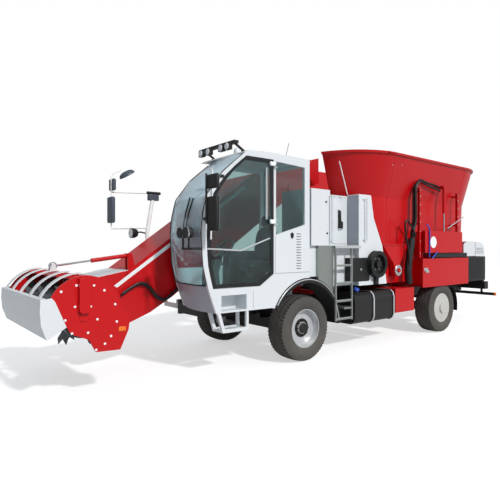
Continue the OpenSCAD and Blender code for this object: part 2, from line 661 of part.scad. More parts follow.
module door_rod() color(silver) {
  rod([cyl_x, cyl_y, 2170], [cyl_x, cyl_y, 2690], rod_r);
}

// Rear: radiator box, hood, bumper
rad_x0 = 4250;
rad_x1 = 5200;
hood_y = 990;
pin_x = 4700;
pin_z = 1975;
module radiator_box() color(black) {
  difference() {
    box(rad_x0, rad_x1, -hood_y, hood_y, 1000, 1600);
    box(rad_x0 - 10, rad_x1 - 40, -hood_y + 40, hood_y - 40, 900, 1650);
  }
  box(5060, 5140, -hood_y, hood_y, rail_top, 1005);
  for (z = [1060 : 60 : 1540]) box(rad_x1 - 2, rad_x1 + 14, -hood_y + 80, hood_y - 80, z, z + 18);
}
module rear_hood() color(white) {
  difference() {
    side_slab([[4700, 1606], [4700, 1960], [4980, 1950], [5130, 1880], [5195, 1740], [5195, 1606]],
      -hood_y + 10, hood_y - 10);
    side_slab([[4690, 1590], [4712, 1590], [4712, 1940], [4970, 1935], [5115, 1865], [5180, 1735],
      [5180, 1590]], -hood_y + 22, hood_y - 22);
  }
  for (s = [-1, 1]) {
    pin_y(pin_x, s * 300 - 42, s * 300 + 42, pin_z, 10);
    pin_y(pin_x, s * 300 - 27, s * 300 + 27, pin_z, 18);
    box(pin_x + 5, pin_x + 40, s * 300 - 27, s * 300 + 27, pin_z - 16, pin_z - 1);
  }
}
module rear_bumper() color(black) {
  box(rail_rear, 5340, -1000, -80, 770, 960);
  box(rail_rear, 5340, 80, 1000, 770, 960);
  for (y = [-900, 860]) box(5220, 5260, y, y + 40, 640, 780);
  box(5190, 5250, -1240, 1240, 620, 690);
}

// Boom: straight channel with a flatter discharge end, pivoted on two pins
boom_y0 = -10;
boom_y1 = boom_y0 + boom_w;
pivot_x = -650;
pivot_z = 2960;
low_x = -3230;
low_z = 1050;
function low_at(x) = low_z + (x - low_x) * tan(boom_slope);
function high_at(x) = low_at(x) + 870;
kink_x = -1640;
boom_end_x = 100;
boom_outline = [[-4340, 640], [-3930, 715], [-3610, 835], [low_x, low_z], [-560, low_at(-560)],
  [boom_end_x, 3110], [boom_end_x, 3540], [kink_x, high_at(kink_x)], [-4330, high_at(-4330)],
  [-4440, 1240], [-4440, 700]];
module boom_channel() color(red) {
  side_slab(boom_outline, boom_y0, boom_y0 + boom_t);
  side_slab(boom_outline, boom_y1 - boom_t, boom_y1);
  side_slab([[-4330, 650], [-3930, 717], [-3610, 837], [low_x, low_z + 2], [-560, low_at(-560) + 2],
    [boom_end_x, 3112], [boom_end_x, 3124], [-566, low_at(-566) + 18], [low_x, low_z + 18],
    [-3610, 851], [-3930, 731], [-4330, 664]], boom_y0 + boom_t - 2, boom_y1 - boom_t + 2);
  for (y = [boom_y0 - 6, boom_y1 - 4]) pin_y(pivot_x, y, y + 10, pivot_z, 110);
  for (y = [lift_y - 66, lift_y + 42])
    side_slab([[eye_x - 60, eye_z - 45], [eye_x + 60, eye_z - 45], [eye_x + 160, low_at(eye_x + 160) + 8],
      [eye_x - 120, low_at(eye_x - 120) + 8]], y, y + 24);
  pin_y(eye_x, lift_y - 64, lift_y + 64, eye_z, 26);
  pin_y(pivot_x, boom_y0 - 50, boom_y0 + 10, pivot_z, pivot_r);
  pin_y(pivot_x, boom_y1 - 10, boom_y1 + 50, pivot_z, pivot_r);
}
module boom_cover() color(red) {
  side_slab([[-4000, high_at(-4000) + fit], [kink_x, high_at(kink_x) + fit], [boom_end_x, 3540 + fit],
    [boom_end_x, 3620], [kink_x, high_at(kink_x) + 100], [-3960, high_at(-3960) + 60]],
    boom_y0, boom_y1);
  difference() {
    for (y = [ram_y - 56, ram_y + 32])
      side_slab([[ram_x - 25, high_at(ram_x - 25) + 20], [ram_x - 35, ram_z + 30],
        [ram_x + 35, ram_z + 30], [ram_x + 90, high_at(ram_x + 90) + 20]], y, y + 24);
    pin_y(ram_x, ram_y - 60, ram_y + 60, ram_z, 14 + fit);
  }
}
module boom_belt() color(black) {
  side_slab([[-4300, 760], [-3930, 800], [low_x, low_z + 90], [-560, low_at(-560) + 90],
    [0, 3190], [-10, 3250], [-560, low_at(-560) + 150], [low_x, low_z + 150], [-3930, 860],
    [-4300, 820]], boom_y0 + boom_t + 20, boom_y1 - boom_t - 20);
  for (p = [[-4250, 794], [-60, 3205]])
    pin_y(p[0], boom_y0 + boom_t, boom_y1 - boom_t, p[1], 24);
}
foot_x = -440;
module boom_stand() color(red) difference() {
  union() {
    for (y = [boom_y0 - 48, boom_y1 + 8]) {
      side_slab([[pivot_x - 110, rail_top + 60], [foot_x, rail_top + 60],
        [pivot_x + 110, pivot_z], [pivot_x - 110, pivot_z]], y, y + 40);
      pin_y(pivot_x, y, y + 40, pivot_z, 110);
    }
    box(-560, foot_x, -frame_w / 2, boom_y1 + 48, rail_top, rail_top + 70);
    for (y = [lift_y - 93, lift_y + 65])
      side_slab([[lift_x - 65, lift_z - 50], [-640, lift_z - 70], [-640, lift_z + 70],
        [lift_x - 20, lift_z + 70], [lift_x - 65, lift_z + 40]], y, y + 28);
  }
  pin_y(pivot_x, boom_y0 - 100, boom_y1 + 100, pivot_z, pivot_r + fit);
  pin_y(lift_x, lift_y - 100, lift_y + 100, lift_z, 30 + fit);
}

// Boom cylinder: its base and its eye lie equally far from the pivot, so the barrel turns
// half as far as the boom
lift_y = 222;
lift_arm = 2100;
lift_a = 268.4;
eye_a = 220.4;
lift_x = pivot_x + lift_arm * cos(lift_a);
lift_z = pivot_z + lift_arm * sin(lift_a);
eye_x = pivot_x + lift_arm * cos(eye_a);
eye_z = pivot_z + lift_arm * sin(eye_a);
lift_base = [lift_x, lift_y, lift_z];
lift_eye = [eye_x, lift_y, eye_z];
lift_len = norm(lift_eye - lift_base);
lift_rod_r = 30;
lift_rod_len = 1390;
module lift_barrel() color(black) {
  pin_y(lift_x, lift_y - 93, lift_y + 93, lift_z, 30);
  pin_y(lift_x, lift_y - 61, lift_y + 61, lift_z, 62);
  aim(lift_base, lift_eye) difference() {
    translate([0, 0, 40]) cylinder(h = 1380, r = 60);
    translate([0, 0, 110]) cylinder(h = 1400, r = lift_rod_r + fit);
  }
}
module lift_rod() color(silver) {
  aim(lift_base, lift_eye) translate([0, 0, lift_len - lift_rod_len])
    cylinder(h = lift_rod_len - 70, r = lift_rod_r);
  difference() {
    pin_y(eye_x, lift_y - 36, lift_y + 36, eye_z, 88);
    pin_y(eye_x, lift_y - 40, lift_y + 40, eye_z, 58);
  }
}

// Milling head
head_x = -4930;
head_z = 1050;
drum_x = -4950;
drum_z = 1010;
plate_t = 30;
strap_r = 494;
strap_t = 14;
strap_ys = [-850, -420, 520, 900];
head_y = head_w / 2;
head_outline = concat(arc(head_x, head_z, head_r, 0, 160, 16), [[-5272, 1130], [-5145, 905],
  [-5099, 823], [-4890, 731], [-4811, 579], [-4513, 570], [-4406, 800], [-4384, 960]]);
module head_housing() color(red) {
  difference() {
    union() {
      for (s = [-1, 1]) scale([1, s, 1]) side_slab(head_outline, head_y - plate_t, head_y);
      ring_sector(head_x, head_z, head_r - 14, head_r - 1, -50, 112,
        -head_y + plate_t - 2, head_y - plate_t + 2);
      for (y = [boom_y0, boom_y1 - boom_t]) box(-4525, -4440, y, y + boom_t, 900, 1180);
    }
    box(-4930, -4300, boom_y0 + boom_t + 10, boom_y1 - boom_t - 10, 700, 1330);
    pin_y(drum_x, -head_y - 30, head_y + 30, drum_z, stub_r + fit);
  }
  for (s = [-1, 1]) scale([1, s, 1]) side_slab([[-5000, 1058], [-4985, 1040], [-4935, 1040],
    [-4920, 1058], [-4920, 1468], [-5000, 1468]], head_y - 2, head_y + 40);
  for (y = strap_ys)
    ring_sector(drum_x, drum_z, strap_r - 30, strap_r - gap, 92, 108, y - 34, y + 34);
}
tooth_w = 24;
drum_half = head_y - plate_t - 20;
module tooth(a, y) translate([drum_x, y, drum_z]) rotate([0, a, 0]) rotate([90, 0, 0])
  linear_extrude(tooth_w, center = true)
    polygon([[-50, drum_r - 20], [40, drum_r - 20], [34, tip_r - 50], [-12, tip_r], [-18, tip_r - 60]]);
module milling_drum() color(grey) {
  pin_y(drum_x, -drum_half, drum_half, drum_z, drum_r);
  pin_y(drum_x, -head_y + 2, head_y - 2, drum_z, stub_r);
  for (i = [0 : teeth - 1]) {
    u = (i + 0.5) / teeth;
    tooth(360 * 2.5 * abs(2 * u - 1) + 180 * (i % 2), -drum_half + 20 + u * 2 * (drum_half - 20));
  }
}
module shield() color(white) {
  for (s = [-1, 1]) scale([1, s, 1])
    side_slab([[-5434, 1239], [-5316, 1250], [-5280, 1210], [-5154, 910], [-5351, 788],
      [-5369, 788], [-5428, 950], [-5440, 1100]], head_y + 4, head_y + 16);
  side_slab([[-5434, 1239], [-5440, 1100], [-5428, 950], [-5369, 788], [-5354, 790], [-5413, 952],
    [-5425, 1100], [-5419, 1232], [-5385, 1235], [-5385, 1250]], -head_y - 14, head_y + 14);
  for (y = strap_ys)
    ring_sector(drum_x, drum_z, strap_r, strap_r + strap_t, 88, 152, y - 45, y + 45);
  for (y = [ram_y - 46, ram_y + 24]) {
    ring_sector(drum_x, drum_z, strap_r, strap_r + strap_t, 88, 152, y, y + 22);
    side_slab([[lug_x - 50, drum_z + strap_r + 6], [lug_x - 25, lug_z + 25],
      [lug_x + 25, lug_z + 25], [lug_x + 40, drum_z + strap_r + 6]], y + 4, y + 16);
  }
  pin_y(lug_x, ram_y - 40, ram_y + 40, lug_z, 12);
}
lug_a = 95;
lug_r = 560;
lug_x = drum_x + lug_r * cos(lug_a);
lug_z = drum_z + lug_r * sin(lug_a);
ram_x = -3930;
ram_z = 1700;
ram_y = 60;
ram_base = [ram_x, ram_y, ram_z];
ram_eye = [lug_x, ram_y, lug_z];
ram_len = norm(ram_eye - ram_base);
module shield_barrel() color(red) {
  pin_y(ram_x, ram_y - 56, ram_y + 56, ram_z, 14);
  pin_y(ram_x, ram_y - 29, ram_y + 29, ram_z, 32);
  aim(ram_base, ram_eye) difference() {
    translate([0, 0, 20]) cylinder(h = 540, r = 30);
    translate([0, 0, 60]) cylinder(h = 520, r = 14 + fit);
  }
}
module shield_rod() color(silver) {
  aim(ram_base, ram_eye) translate([0, 0, ram_len - 640]) cylinder(h = 593, r = 14);
  difference() {
    pin_y(lug_x, ram_y - 18, ram_y + 18, lug_z, 54);
    pin_y(lug_x, ram_y - 24, ram_y + 24, lug_z, 40);
  }
}

// Cab door
hinge_x = door_back + 2;
hinge_y = cab_left - 24;
frame_w_door = 55;
module cab_door() color(black) {
  difference() {
    side_slab(door_outline(door_gap), cab_left - 5, cab_left + cab_wall - 5);
    side_slab(door_outline(door_gap + frame_w_door), cab_left - 50, cab_left + cab_wall + 50);
  }
  for (z = hinge_zs) {
    box(hinge_x - 95, hinge_x - 6, cab_left - 36, cab_left - 4, z - 28, z + 28);
    translate([hinge_x, hinge_y, z - 28]) cylinder(h = 56, r = 14);
  }
}
module door_glass() color(glass)
  side_slab(door_outline(door_gap + frame_w_door + 1), cab_left + 6, cab_left + 6 + glass_t);

chassis_frame();
axles();
engine_block();
fenders();
left_tank();
red_box();
cab_shell();
cab_nose();
cab_roof();
windscreen();
cab_windows();
cab_seat();
cab_controls();
cab_steps();
work_lamps();
left_mirrors();
right_mirrors();
cabinets();
side_panel();
platform();
hose_reel();
tub();
auger_front();
auger_rear();
discharge_rails();
discharge_box();
radiator_box();
rear_bumper();
boom_stand();
boom_channel();
boom_cover();
boom_belt();
head_housing();
milling_drum();
shield();
shield_barrel();
shield_rod();
lift_barrel();
lift_rod();
cab_door();
door_glass();
cabinet_door();
discharge_door();
door_rod();
rear_hood();
knuckle(-1);  // knuckle_left
knuckle(1);  // knuckle_right
tyre(front_axle_x, -1);  // tyre_front_left
rim(front_axle_x, -1, front_dish, stub_r);  // rim_front_left
tyre(front_axle_x, 1);  // tyre_front_right
rim(front_axle_x, 1, front_dish, stub_r);  // rim_front_right
tyre(rear_axle_x, -1);  // tyre_rear_left
rim(rear_axle_x, -1, rear_dish, stub_r + 10);  // rim_rear_left
tyre(rear_axle_x, 1);  // tyre_rear_right
rim(rear_axle_x, 1, rear_dish, stub_r + 10);  // rim_rear_right
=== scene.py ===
import bmesh
import bpy
import math
import numpy as np
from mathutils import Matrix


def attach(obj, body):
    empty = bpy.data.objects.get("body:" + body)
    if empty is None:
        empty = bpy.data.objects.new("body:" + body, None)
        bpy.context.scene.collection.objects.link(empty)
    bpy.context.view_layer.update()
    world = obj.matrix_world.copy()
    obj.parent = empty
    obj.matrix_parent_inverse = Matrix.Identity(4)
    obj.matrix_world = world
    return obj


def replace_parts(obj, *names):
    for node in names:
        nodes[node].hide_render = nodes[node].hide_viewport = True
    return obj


# A self-propelled feed mixer wagon. Front towards -X, left side towards -Y, metres throughout.
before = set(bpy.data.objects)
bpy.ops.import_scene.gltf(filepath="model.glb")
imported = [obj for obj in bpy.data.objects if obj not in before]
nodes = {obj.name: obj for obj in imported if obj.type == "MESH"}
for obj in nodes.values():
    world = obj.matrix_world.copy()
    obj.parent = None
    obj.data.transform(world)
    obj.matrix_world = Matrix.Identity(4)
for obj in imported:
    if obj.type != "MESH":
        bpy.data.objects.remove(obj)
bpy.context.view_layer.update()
scene = bpy.context.scene
print("frame loaded:", len(nodes), "nodes")

# Camera, placed from the photograph: a level view with the eye 1.81 m above the ground
cameraSet = dict(place=(-6.79, -6.42, 1.81), heading=38.61, focalPx=461.1, imagePx=500, horizonPx=248,
                 sensor=36.0)
camData = bpy.data.cameras.new("photoCamera")
camData.sensor_width = cameraSet["sensor"]
camData.lens = cameraSet["sensor"] * cameraSet["focalPx"] / cameraSet["imagePx"]
camData.shift_y = (cameraSet["horizonPx"] - cameraSet["imagePx"] / 2) / cameraSet["imagePx"]
camera = bpy.data.objects.new("photoCamera", camData)
camera.location = cameraSet["place"]
camera.rotation_euler = (math.radians(90), 0, -math.radians(cameraSet["heading"]))
scene.collection.objects.link(camera)
scene.camera = camera
scene.view_settings.view_transform = "Standard"
print("camera placed")


# Colours and shader nodes
def srgb(hexText):
    # sRGB hex to linear: each channel through the standard curve
    c = np.array([int(hexText[i:i + 2], 16) for i in (1, 3, 5)]) / 255
    linear = np.where(c <= 0.04045, c / 12.92, ((c + 0.055) / 1.055) ** 2.4)
    return (*[float(v) for v in linear], 1.0)


def addNode(tree, kind, inputs=None, **settings):
    # One shader node: its settings, then its inputs, which are values or sockets to link
    node = tree.nodes.new(kind)
    for key, value in settings.items():
        setattr(node, key, value)
    for key, value in (inputs or {}).items():
        if isinstance(value, bpy.types.NodeSocket):
            tree.links.new(value, node.inputs[key])
        else:
            node.inputs[key].default_value = value
    return node


dustSet = dict(colour="#9A8F80", scale=14.0, detail=6.0, rough=0.7)


def newMaterial(name, colour, shade=None, patchMm=400.0, rough=(0.3, 0.4), metallic=0.0, coat=0.0,
                coatRough=0.05, bumpMm=0.0, grainMm=6.0, dust=0.0, dustTop=1.2, ior=None):
    # A finish: two close tones mixed by slow noise, roughness that follows the same noise,
    # a finer grain for the bump, and dust that thins out with height
    material = bpy.data.materials.new(name)
    material.use_nodes = True
    tree = material.node_tree
    tree.nodes.clear()
    where = addNode(tree, "ShaderNodeTexCoord").outputs["Object"]
    patches = addNode(tree, "ShaderNodeTexNoise",
                      {"Vector": where, "Scale": 1000.0 / patchMm, "Detail": 3.0, "Roughness": 0.55})
    tone = addNode(tree, "ShaderNodeMix",
                   {"Factor": patches.outputs["Fac"], "A": srgb(colour), "B": srgb(shade or colour)},
                   data_type="RGBA").outputs[2]
    if dust > 0:
        height = addNode(tree, "ShaderNodeSeparateXYZ", {"Vector": where}).outputs["Z"]
        fade = addNode(tree, "ShaderNodeMapRange",
                       {"Value": height, "From Min": 0.0, "From Max": dustTop, "To Min": dust, "To Max": 0.0})
        speckle = addNode(tree, "ShaderNodeTexNoise", {"Vector": where, "Scale": dustSet["scale"],
                                                       "Detail": dustSet["detail"],
                                                       "Roughness": dustSet["rough"]})
        amount = addNode(tree, "ShaderNodeMath",
                         {0: fade.outputs["Result"], 1: speckle.outputs["Fac"]}, operation="MULTIPLY")
        tone = addNode(tree, "ShaderNodeMix",
                       {"Factor": amount.outputs["Value"], "A": tone, "B": srgb(dustSet["colour"])},
                       data_type="RGBA").outputs[2]
    smooth = addNode(tree, "ShaderNodeMapRange",
                     {"Value": patches.outputs["Fac"], "To Min": rough[0], "To Max": rough[1]})
    shader = addNode(tree, "ShaderNodeBsdfPrincipled",
                     {"Base Color": tone, "Roughness": smooth.outputs["Result"], "Metallic": metallic,
                      "Coat Weight": coat, "Coat Roughness": coatRough})
    if ior:
        shader.inputs["IOR"].default_value = ior
    if bumpMm > 0:
        grain = addNode(tree, "ShaderNodeTexNoise", {"Vector": where, "Scale": 1000.0 / grainMm,
                                                     "Detail": 2.0})
        bump = addNode(tree, "ShaderNodeBump",
                       {"Height": grain.outputs["Fac"], "Distance": bumpMm / 1000.0, "Strength": 1.0})
        tree.links.new(bump.outputs["Normal"], shader.inputs["Normal"])
    addNode(tree, "ShaderNodeOutputMaterial", {"Surface": shader.outputs["BSDF"]})
    return material


def glassMaterial(name, tint, paintedSky, paintedSkyLow=0.0, paintedSkyHigh=0.0):
    # Tinted safety glass. Light for the shadows passes straight through with the tint, and a pale
    # painted reflection of the sky, stronger towards the top of the screen, lies over it.
    material = bpy.data.materials.new(name)
    material.use_nodes = True
    tree = material.node_tree
    tree.nodes.clear()
    where = addNode(tree, "ShaderNodeTexCoord").outputs["Object"]
    pane = addNode(tree, "ShaderNodeBsdfPrincipled",
                   {"Base Color": srgb(tint), "Roughness": 0.02, "IOR": 1.45, "Transmission Weight": 1.0})
    paintedSkyLayer = addNode(tree, "ShaderNodeBsdfPrincipled",
                   {"Base Color": srgb(paintedSky), "Roughness": 0.25, "IOR": 1.45})
    height = addNode(tree, "ShaderNodeSeparateXYZ", {"Vector": where}).outputs["Z"]
    share = addNode(tree, "ShaderNodeMapRange", {"Value": height, "From Min": 1.4, "From Max": 2.9,
                                                 "To Min": paintedSkyLow, "To Max": paintedSkyHigh})
    face = addNode(tree, "ShaderNodeMixShader", {"Fac": share.outputs["Result"], 1: pane.outputs["BSDF"],
                                                 2: paintedSkyLayer.outputs["BSDF"]})
    through = addNode(tree, "ShaderNodeBsdfTransparent", {"Color": srgb(tint)})
    rays = addNode(tree, "ShaderNodeLightPath")
    mixed = addNode(tree, "ShaderNodeMixShader", {"Fac": rays.outputs["Is Shadow Ray"],
                                                  1: face.outputs["Shader"], 2: through.outputs["BSDF"]})
    addNode(tree, "ShaderNodeOutputMaterial", {"Surface": mixed.outputs["Shader"]})
    return material


# Baked enamel on sheet steel: deep colour under a clear, slightly rippled gloss
redEnamel = newMaterial("redEnamel", "#C6030C", "#BA020A", 900, (0.32, 0.42), coat=0.08, bumpMm=0.25,
                        grainMm=30, dust=0.06, dustTop=1.0, ior=1.40)
whiteEnamel = newMaterial("whiteEnamel", "#DEE3E7", "#D7DCE1", 700, (0.28, 0.38), coat=0.35, bumpMm=0.2,
                          grainMm=30, dust=0.10, dustTop=1.0)
# The nose and front-facing plates: painted shade, a grey that stands in for faces turned away from the sun,
# with a duller gloss
shadeGreyEnamel = newMaterial("shadeGreyEnamel", "#A9AEBA", "#A0A5B2", 600, (0.35, 0.45), coat=0.2, bumpMm=0.2,
                         grainMm=30)
# Etched aluminium sheet: a fine matt sparkle with a green-grey cast
etchedAluminium = newMaterial("etchedAluminium", "#A3A9A4", "#969D98", 300, (0.38, 0.5), metallic=0.75,
                              bumpMm=0.1, grainMm=4)
# Satin chassis black: dust lies on it near the ground
chassisBlack = newMaterial("chassisBlack", "#0C0D0E", "#131416", 300, (0.4, 0.55), bumpMm=0.3, grainMm=8,
                           dust=0.06)
# Moulded black polyethylene: waxy, with a fine leather grain
mouldedBlack = newMaterial("mouldedBlack", "#0D0E0F", "#141516", 200, (0.5, 0.62), bumpMm=0.35, grainMm=3,
                           dust=0.05)
# Glossy black powder coat on the door frame
powderBlack = newMaterial("powderBlack", "#0A0B0C", "#101113", 300, (0.28, 0.36), coat=0.3, bumpMm=0.1,
                          grainMm=5)
# Worn steel of the flights: polish marks from the feed
polishedSteel = newMaterial("polishedSteel", "#8F9294", "#A7AAAB", 120, (0.22, 0.42), metallic=1.0,
                            bumpMm=0.3, grainMm=10)
# Cast teeth and drum: dull grey with scale
castSteel = newMaterial("castSteel", "#6C7075", "#5A5E63", 60, (0.5, 0.7), metallic=0.5, bumpMm=0.8,
                        grainMm=7)
# Hard chrome on the rods: close to a mirror, with hardly any change across it
hardChrome = newMaterial("hardChrome", "#D5D8DA", "#CDD0D3", 100, (0.06, 0.12), metallic=1.0)
# Silver wheel lacquer: flakes under clear, dusty low down
wheelSilver = newMaterial("wheelSilver", "#D3D6D9", "#C7CACE", 150, (0.28, 0.4), metallic=0.45, coat=0.2,
                          bumpMm=0.15, grainMm=8, dust=0.2)
# Silver lacquer on the rear wheels' covers: duller and warmer than the front rims
coverSilver = newMaterial("coverSilver", "#CFCFCB", "#C4C4C0", 150, (0.4, 0.5), metallic=0.15, bumpMm=0.15,
                          grainMm=8, dust=0.25)
# Zinc plated nuts and bolts: pale, with a broken shine
zincPlate = newMaterial("zincPlate", "#D8DCE0", "#C8CDD2", 30, (0.25, 0.4), metallic=0.8, bumpMm=0.1,
                        grainMm=3)
# Tyre rubber: carbon black, greyed by road dust
tyreRubber = newMaterial("tyreRubber", "#3A3A3B", "#444341", 90, (0.72, 0.85), bumpMm=0.4, grainMm=3,
                         dust=0.35, dustTop=1.3)
# Extruded hose rubber: near black, with a soft sheen along it
hoseRubber = newMaterial("hoseRubber", "#0C0D0E", "#131416", 60, (0.35, 0.5), bumpMm=0.2, grainMm=2)
# Woven belt with a rubber cover: dark grey and matt from the feed
beltRubber = newMaterial("beltRubber", "#2B2B2C", "#353433", 120, (0.6, 0.75), bumpMm=0.5, grainMm=5)
# Blue plastic of two hoses and the filler caps: clean colour with a light gloss
blueHose = newMaterial("blueHose", "#1E49B8", "#2457C6", 60, (0.35, 0.45), coat=0.2, bumpMm=0.1, grainMm=3)
# Woven seat cloth: dark and quite matt
seatCloth = newMaterial("seatCloth", "#2E3238", "#383D44", 40, (0.8, 0.95), bumpMm=0.6, grainMm=2)
# Moulded ABS inside the cab: grey, with a fine even grain
cabPlastic = newMaterial("cabPlastic", "#3A4043", "#2F3437", 120, (0.5, 0.65), bumpMm=0.2, grainMm=2)
# Silvered mirror glass: one even tone and no grain
mirrorSilver = newMaterial("mirrorSilver", "#C8D0D6", "#C8D0D6", 300, (0.02, 0.03), metallic=1.0)
# Moulded acrylic lenses: glossy, with a pebbled inside that shows as a bump
orangeLens = newMaterial("orangeLens", "#F07A10", "#E86A08", 20, (0.15, 0.2), coat=0.6, bumpMm=0.6, grainMm=5)
redLens = newMaterial("redLens", "#C4101A", "#A80C15", 20, (0.15, 0.2), coat=0.6, bumpMm=0.6, grainMm=5)
clearLens = newMaterial("clearLens", "#E8EDF2", "#D5DCE4", 25, (0.08, 0.15), coat=0.8, bumpMm=0.8, grainMm=8)
# Blue-grey moulding of the right mirrors and the bracket on their post
mirrorGrey = newMaterial("mirrorGrey", "#4A5360", "#414A56", 150, (0.4, 0.5), bumpMm=0.2, grainMm=4)
# White paint on tubes, bolt heads and the stripe: brighter than the enamel, without its clear gloss
plainWhite = newMaterial("plainWhite", "#F2F4F5", "#ECEFF1", 200, (0.35, 0.45))
# Smoked safety glass, green where it is thick, with a faint painted sky reflection towards the top
cabGlass = glassMaterial("cabGlass", "#BFD3D1", "#9FB4BC", 0.0, 0.03)
# The front glass: a painted reflection of the sky lies on its upper half
frontGlass = glassMaterial("frontGlass", "#C2DAE0", "#D2E3EE", 0.02, 0.70)
print("materials made")

# The cab nose takes the grey of painted shade
finishOf = dict(
    chassis_frame=chassisBlack, axles=chassisBlack, engine_block=castSteel, fenders=mouldedBlack,
    left_tank=chassisBlack, red_box=redEnamel, cab_shell=whiteEnamel, cab_nose=shadeGreyEnamel,
    cab_roof=whiteEnamel, windscreen=frontGlass, cab_windows=cabGlass, cab_seat=seatCloth,
    cab_controls=cabPlastic, cab_steps=whiteEnamel, work_lamps=mouldedBlack, left_mirrors=mouldedBlack,
    right_mirrors=whiteEnamel, cabinets=whiteEnamel, side_panel=etchedAluminium, platform=etchedAluminium,
    hose_reel=mouldedBlack, tub=redEnamel, auger_front=polishedSteel, auger_rear=polishedSteel,
    discharge_rails=redEnamel, discharge_box=redEnamel, radiator_box=chassisBlack, rear_bumper=chassisBlack,
    boom_stand=redEnamel, boom_channel=redEnamel, boom_cover=redEnamel, boom_belt=beltRubber,
    head_housing=redEnamel, milling_drum=castSteel, shield=whiteEnamel, shield_barrel=redEnamel,
    shield_rod=hardChrome, lift_barrel=chassisBlack, lift_rod=hardChrome, cab_door=powderBlack,
    door_glass=cabGlass, cabinet_door=whiteEnamel, discharge_door=redEnamel, door_rod=hardChrome,
    rear_hood=whiteEnamel, knuckle_left=chassisBlack, knuckle_right=chassisBlack)
for name, node in nodes.items():
    finish = finishOf.get(name)
    if name.startswith("tyre"):
        finish = tyreRubber
    if name.startswith("rim"):
        finish = wheelSilver if "front" in name else coverSilver
    node.data.materials.clear()
    node.data.materials.append(finish)
print("finishes on the solids")


# Meshes worked out with numpy: a shape's function returns points and faces, and addPiece makes the object
def addPiece(name, verts, faces, finish, body, slot=None, sharpDeg=35.0, bevel=0.0):
    # A mesh from arrays, its faces turned outwards, riding on a body
    mesh = bpy.data.meshes.new(name)
    mesh.from_pydata(np.asarray(verts, float).tolist(), [], faces)
    shell = bmesh.new()
    shell.from_mesh(mesh)
    bmesh.ops.recalc_face_normals(shell, faces=shell.faces)
    shell.to_mesh(mesh)
    shell.free()
    mesh.shade_smooth()
    mesh.set_sharp_from_angle(angle=math.radians(sharpDeg))
    mesh.materials.append(finish)
    piece = bpy.data.objects.new(name, mesh)
    scene.collection.objects.link(piece)
    if bevel > 0:
        edge = piece.modifiers.new("edge", "BEVEL")
        edge.width = bevel
        edge.segments = 2
        edge.limit_method = "ANGLE"
    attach(piece, body)
    return piece


def joinParts(parts):
    # Several shapes as one: the points follow each other, and each face's numbers move on by those before
    verts, faces = [], []
    for points, polygons in parts:
        faces += [[i + len(verts) for i in polygon] for polygon in polygons]
        verts += np.asarray(points, float).tolist()
    return verts, faces


def gridFaces(rows, cols, closeRows=False, closeCols=False):
    # Quads of a grid of points, row after row; a closed direction joins its last line to its first
    i = np.arange(rows if closeRows else rows - 1)
    j = np.arange(cols if closeCols else cols - 1)
    i, j = np.meshgrid(i, j, indexing="ij")
    a = i * cols + j
    b = i * cols + (j + 1) % cols
    c = ((i + 1) % rows) * cols + (j + 1) % cols
    d = ((i + 1) % rows) * cols + j
    return np.stack([a, b, c, d], -1).reshape(-1, 4).tolist()


def capFaces(centre, ring, turned=False):
    # Triangles from a centre point to each pair of neighbours on a closed ring of points
    ring = np.asarray(ring)
    ends = (ring, np.roll(ring, -1)) if turned else (np.roll(ring, -1), ring)
    return np.stack([np.full(len(ring), centre), *ends], -1).tolist()


def tilted(points, degrees, across):
    # Points turned so that Z leans towards X (across 0) or Y (across 1) by an angle
    a = math.radians(degrees)
    p = np.array(points, float)
    flat, up = p[:, across].copy(), p[:, 2].copy()
    p[:, across] = flat * math.cos(a) + up * math.sin(a)
    p[:, 2] = -flat * math.sin(a) + up * math.cos(a)
    return p


def boxParts(boxes):
    # Boxes given as x0, x1, y0, y1, z0, z1: eight corners each, X changing first, and six faces
    limits = np.asarray(boxes, float).reshape(-1, 3, 2)
    pick = np.array([(i, j, k) for k in (0, 1) for j in (0, 1) for i in (0, 1)])
    verts = limits[:, np.arange(3), pick].reshape(-1, 3)
    sides = np.array([(0, 2, 3, 1), (4, 5, 7, 6), (0, 1, 5, 4), (2, 6, 7, 3), (0, 4, 6, 2), (1, 3, 7, 5)])
    faces = sides + 8 * np.arange(len(limits))[:, None, None]
    return verts, faces.reshape(-1, 4).tolist()


def slabParts(outline, y0, y1):
    # A flat plate cut to a side outline of (x, z) points, between two Y planes
    side = np.asarray(outline, float)
    count = len(side)
    verts = np.vstack([np.insert(side, 1, y, axis=1) for y in (y0, y1)])
    i = np.arange(count)
    j = np.roll(i, -1)
    faces = [i.tolist(), (count + i)[::-1].tolist()]
    faces += np.stack([j, i, count + i, count + j], -1).tolist()
    return verts, faces


def ribbonParts(outline, width, thick):
    # A flat band bent along an outline in the YZ plane at X 0 to width; closed all round
    path = np.asarray(outline, float)
    along = np.gradient(path, axis=0)
    along /= np.linalg.norm(along, axis=1)[:, None]
    outer = path + np.stack([along[:, 1], -along[:, 0]], -1) * thick
    ring = np.stack([np.insert(line, 0, x, axis=1)
                     for x, line in ((0, path), (0, outer), (width, outer), (width, path))], axis=1)
    last = 4 * (len(path) - 1)
    faces = gridFaces(len(path), 4, closeCols=True)
    faces += [(0, 3, 2, 1), (last, last + 1, last + 2, last + 3)]
    return ring.reshape(-1, 3), faces


def smoothPath(points, samples):
    # Catmull-Rom curve through the points, sampled evenly in its parameter
    p = np.asarray(points, float)
    p = np.vstack([2 * p[0] - p[1], p, 2 * p[-1] - p[-2]])
    t = np.linspace(0, len(points) - 1 - 1e-9, samples)
    k = t.astype(int)
    u = (t - k)[:, None]
    a, b, c, d = p[k], p[k + 1], p[k + 2], p[k + 3]
    return 0.5 * (2 * b + (c - a) * u + (2 * a - 5 * b + 4 * c - d) * u ** 2
                  + (3 * b - a - 3 * c + d) * u ** 3)


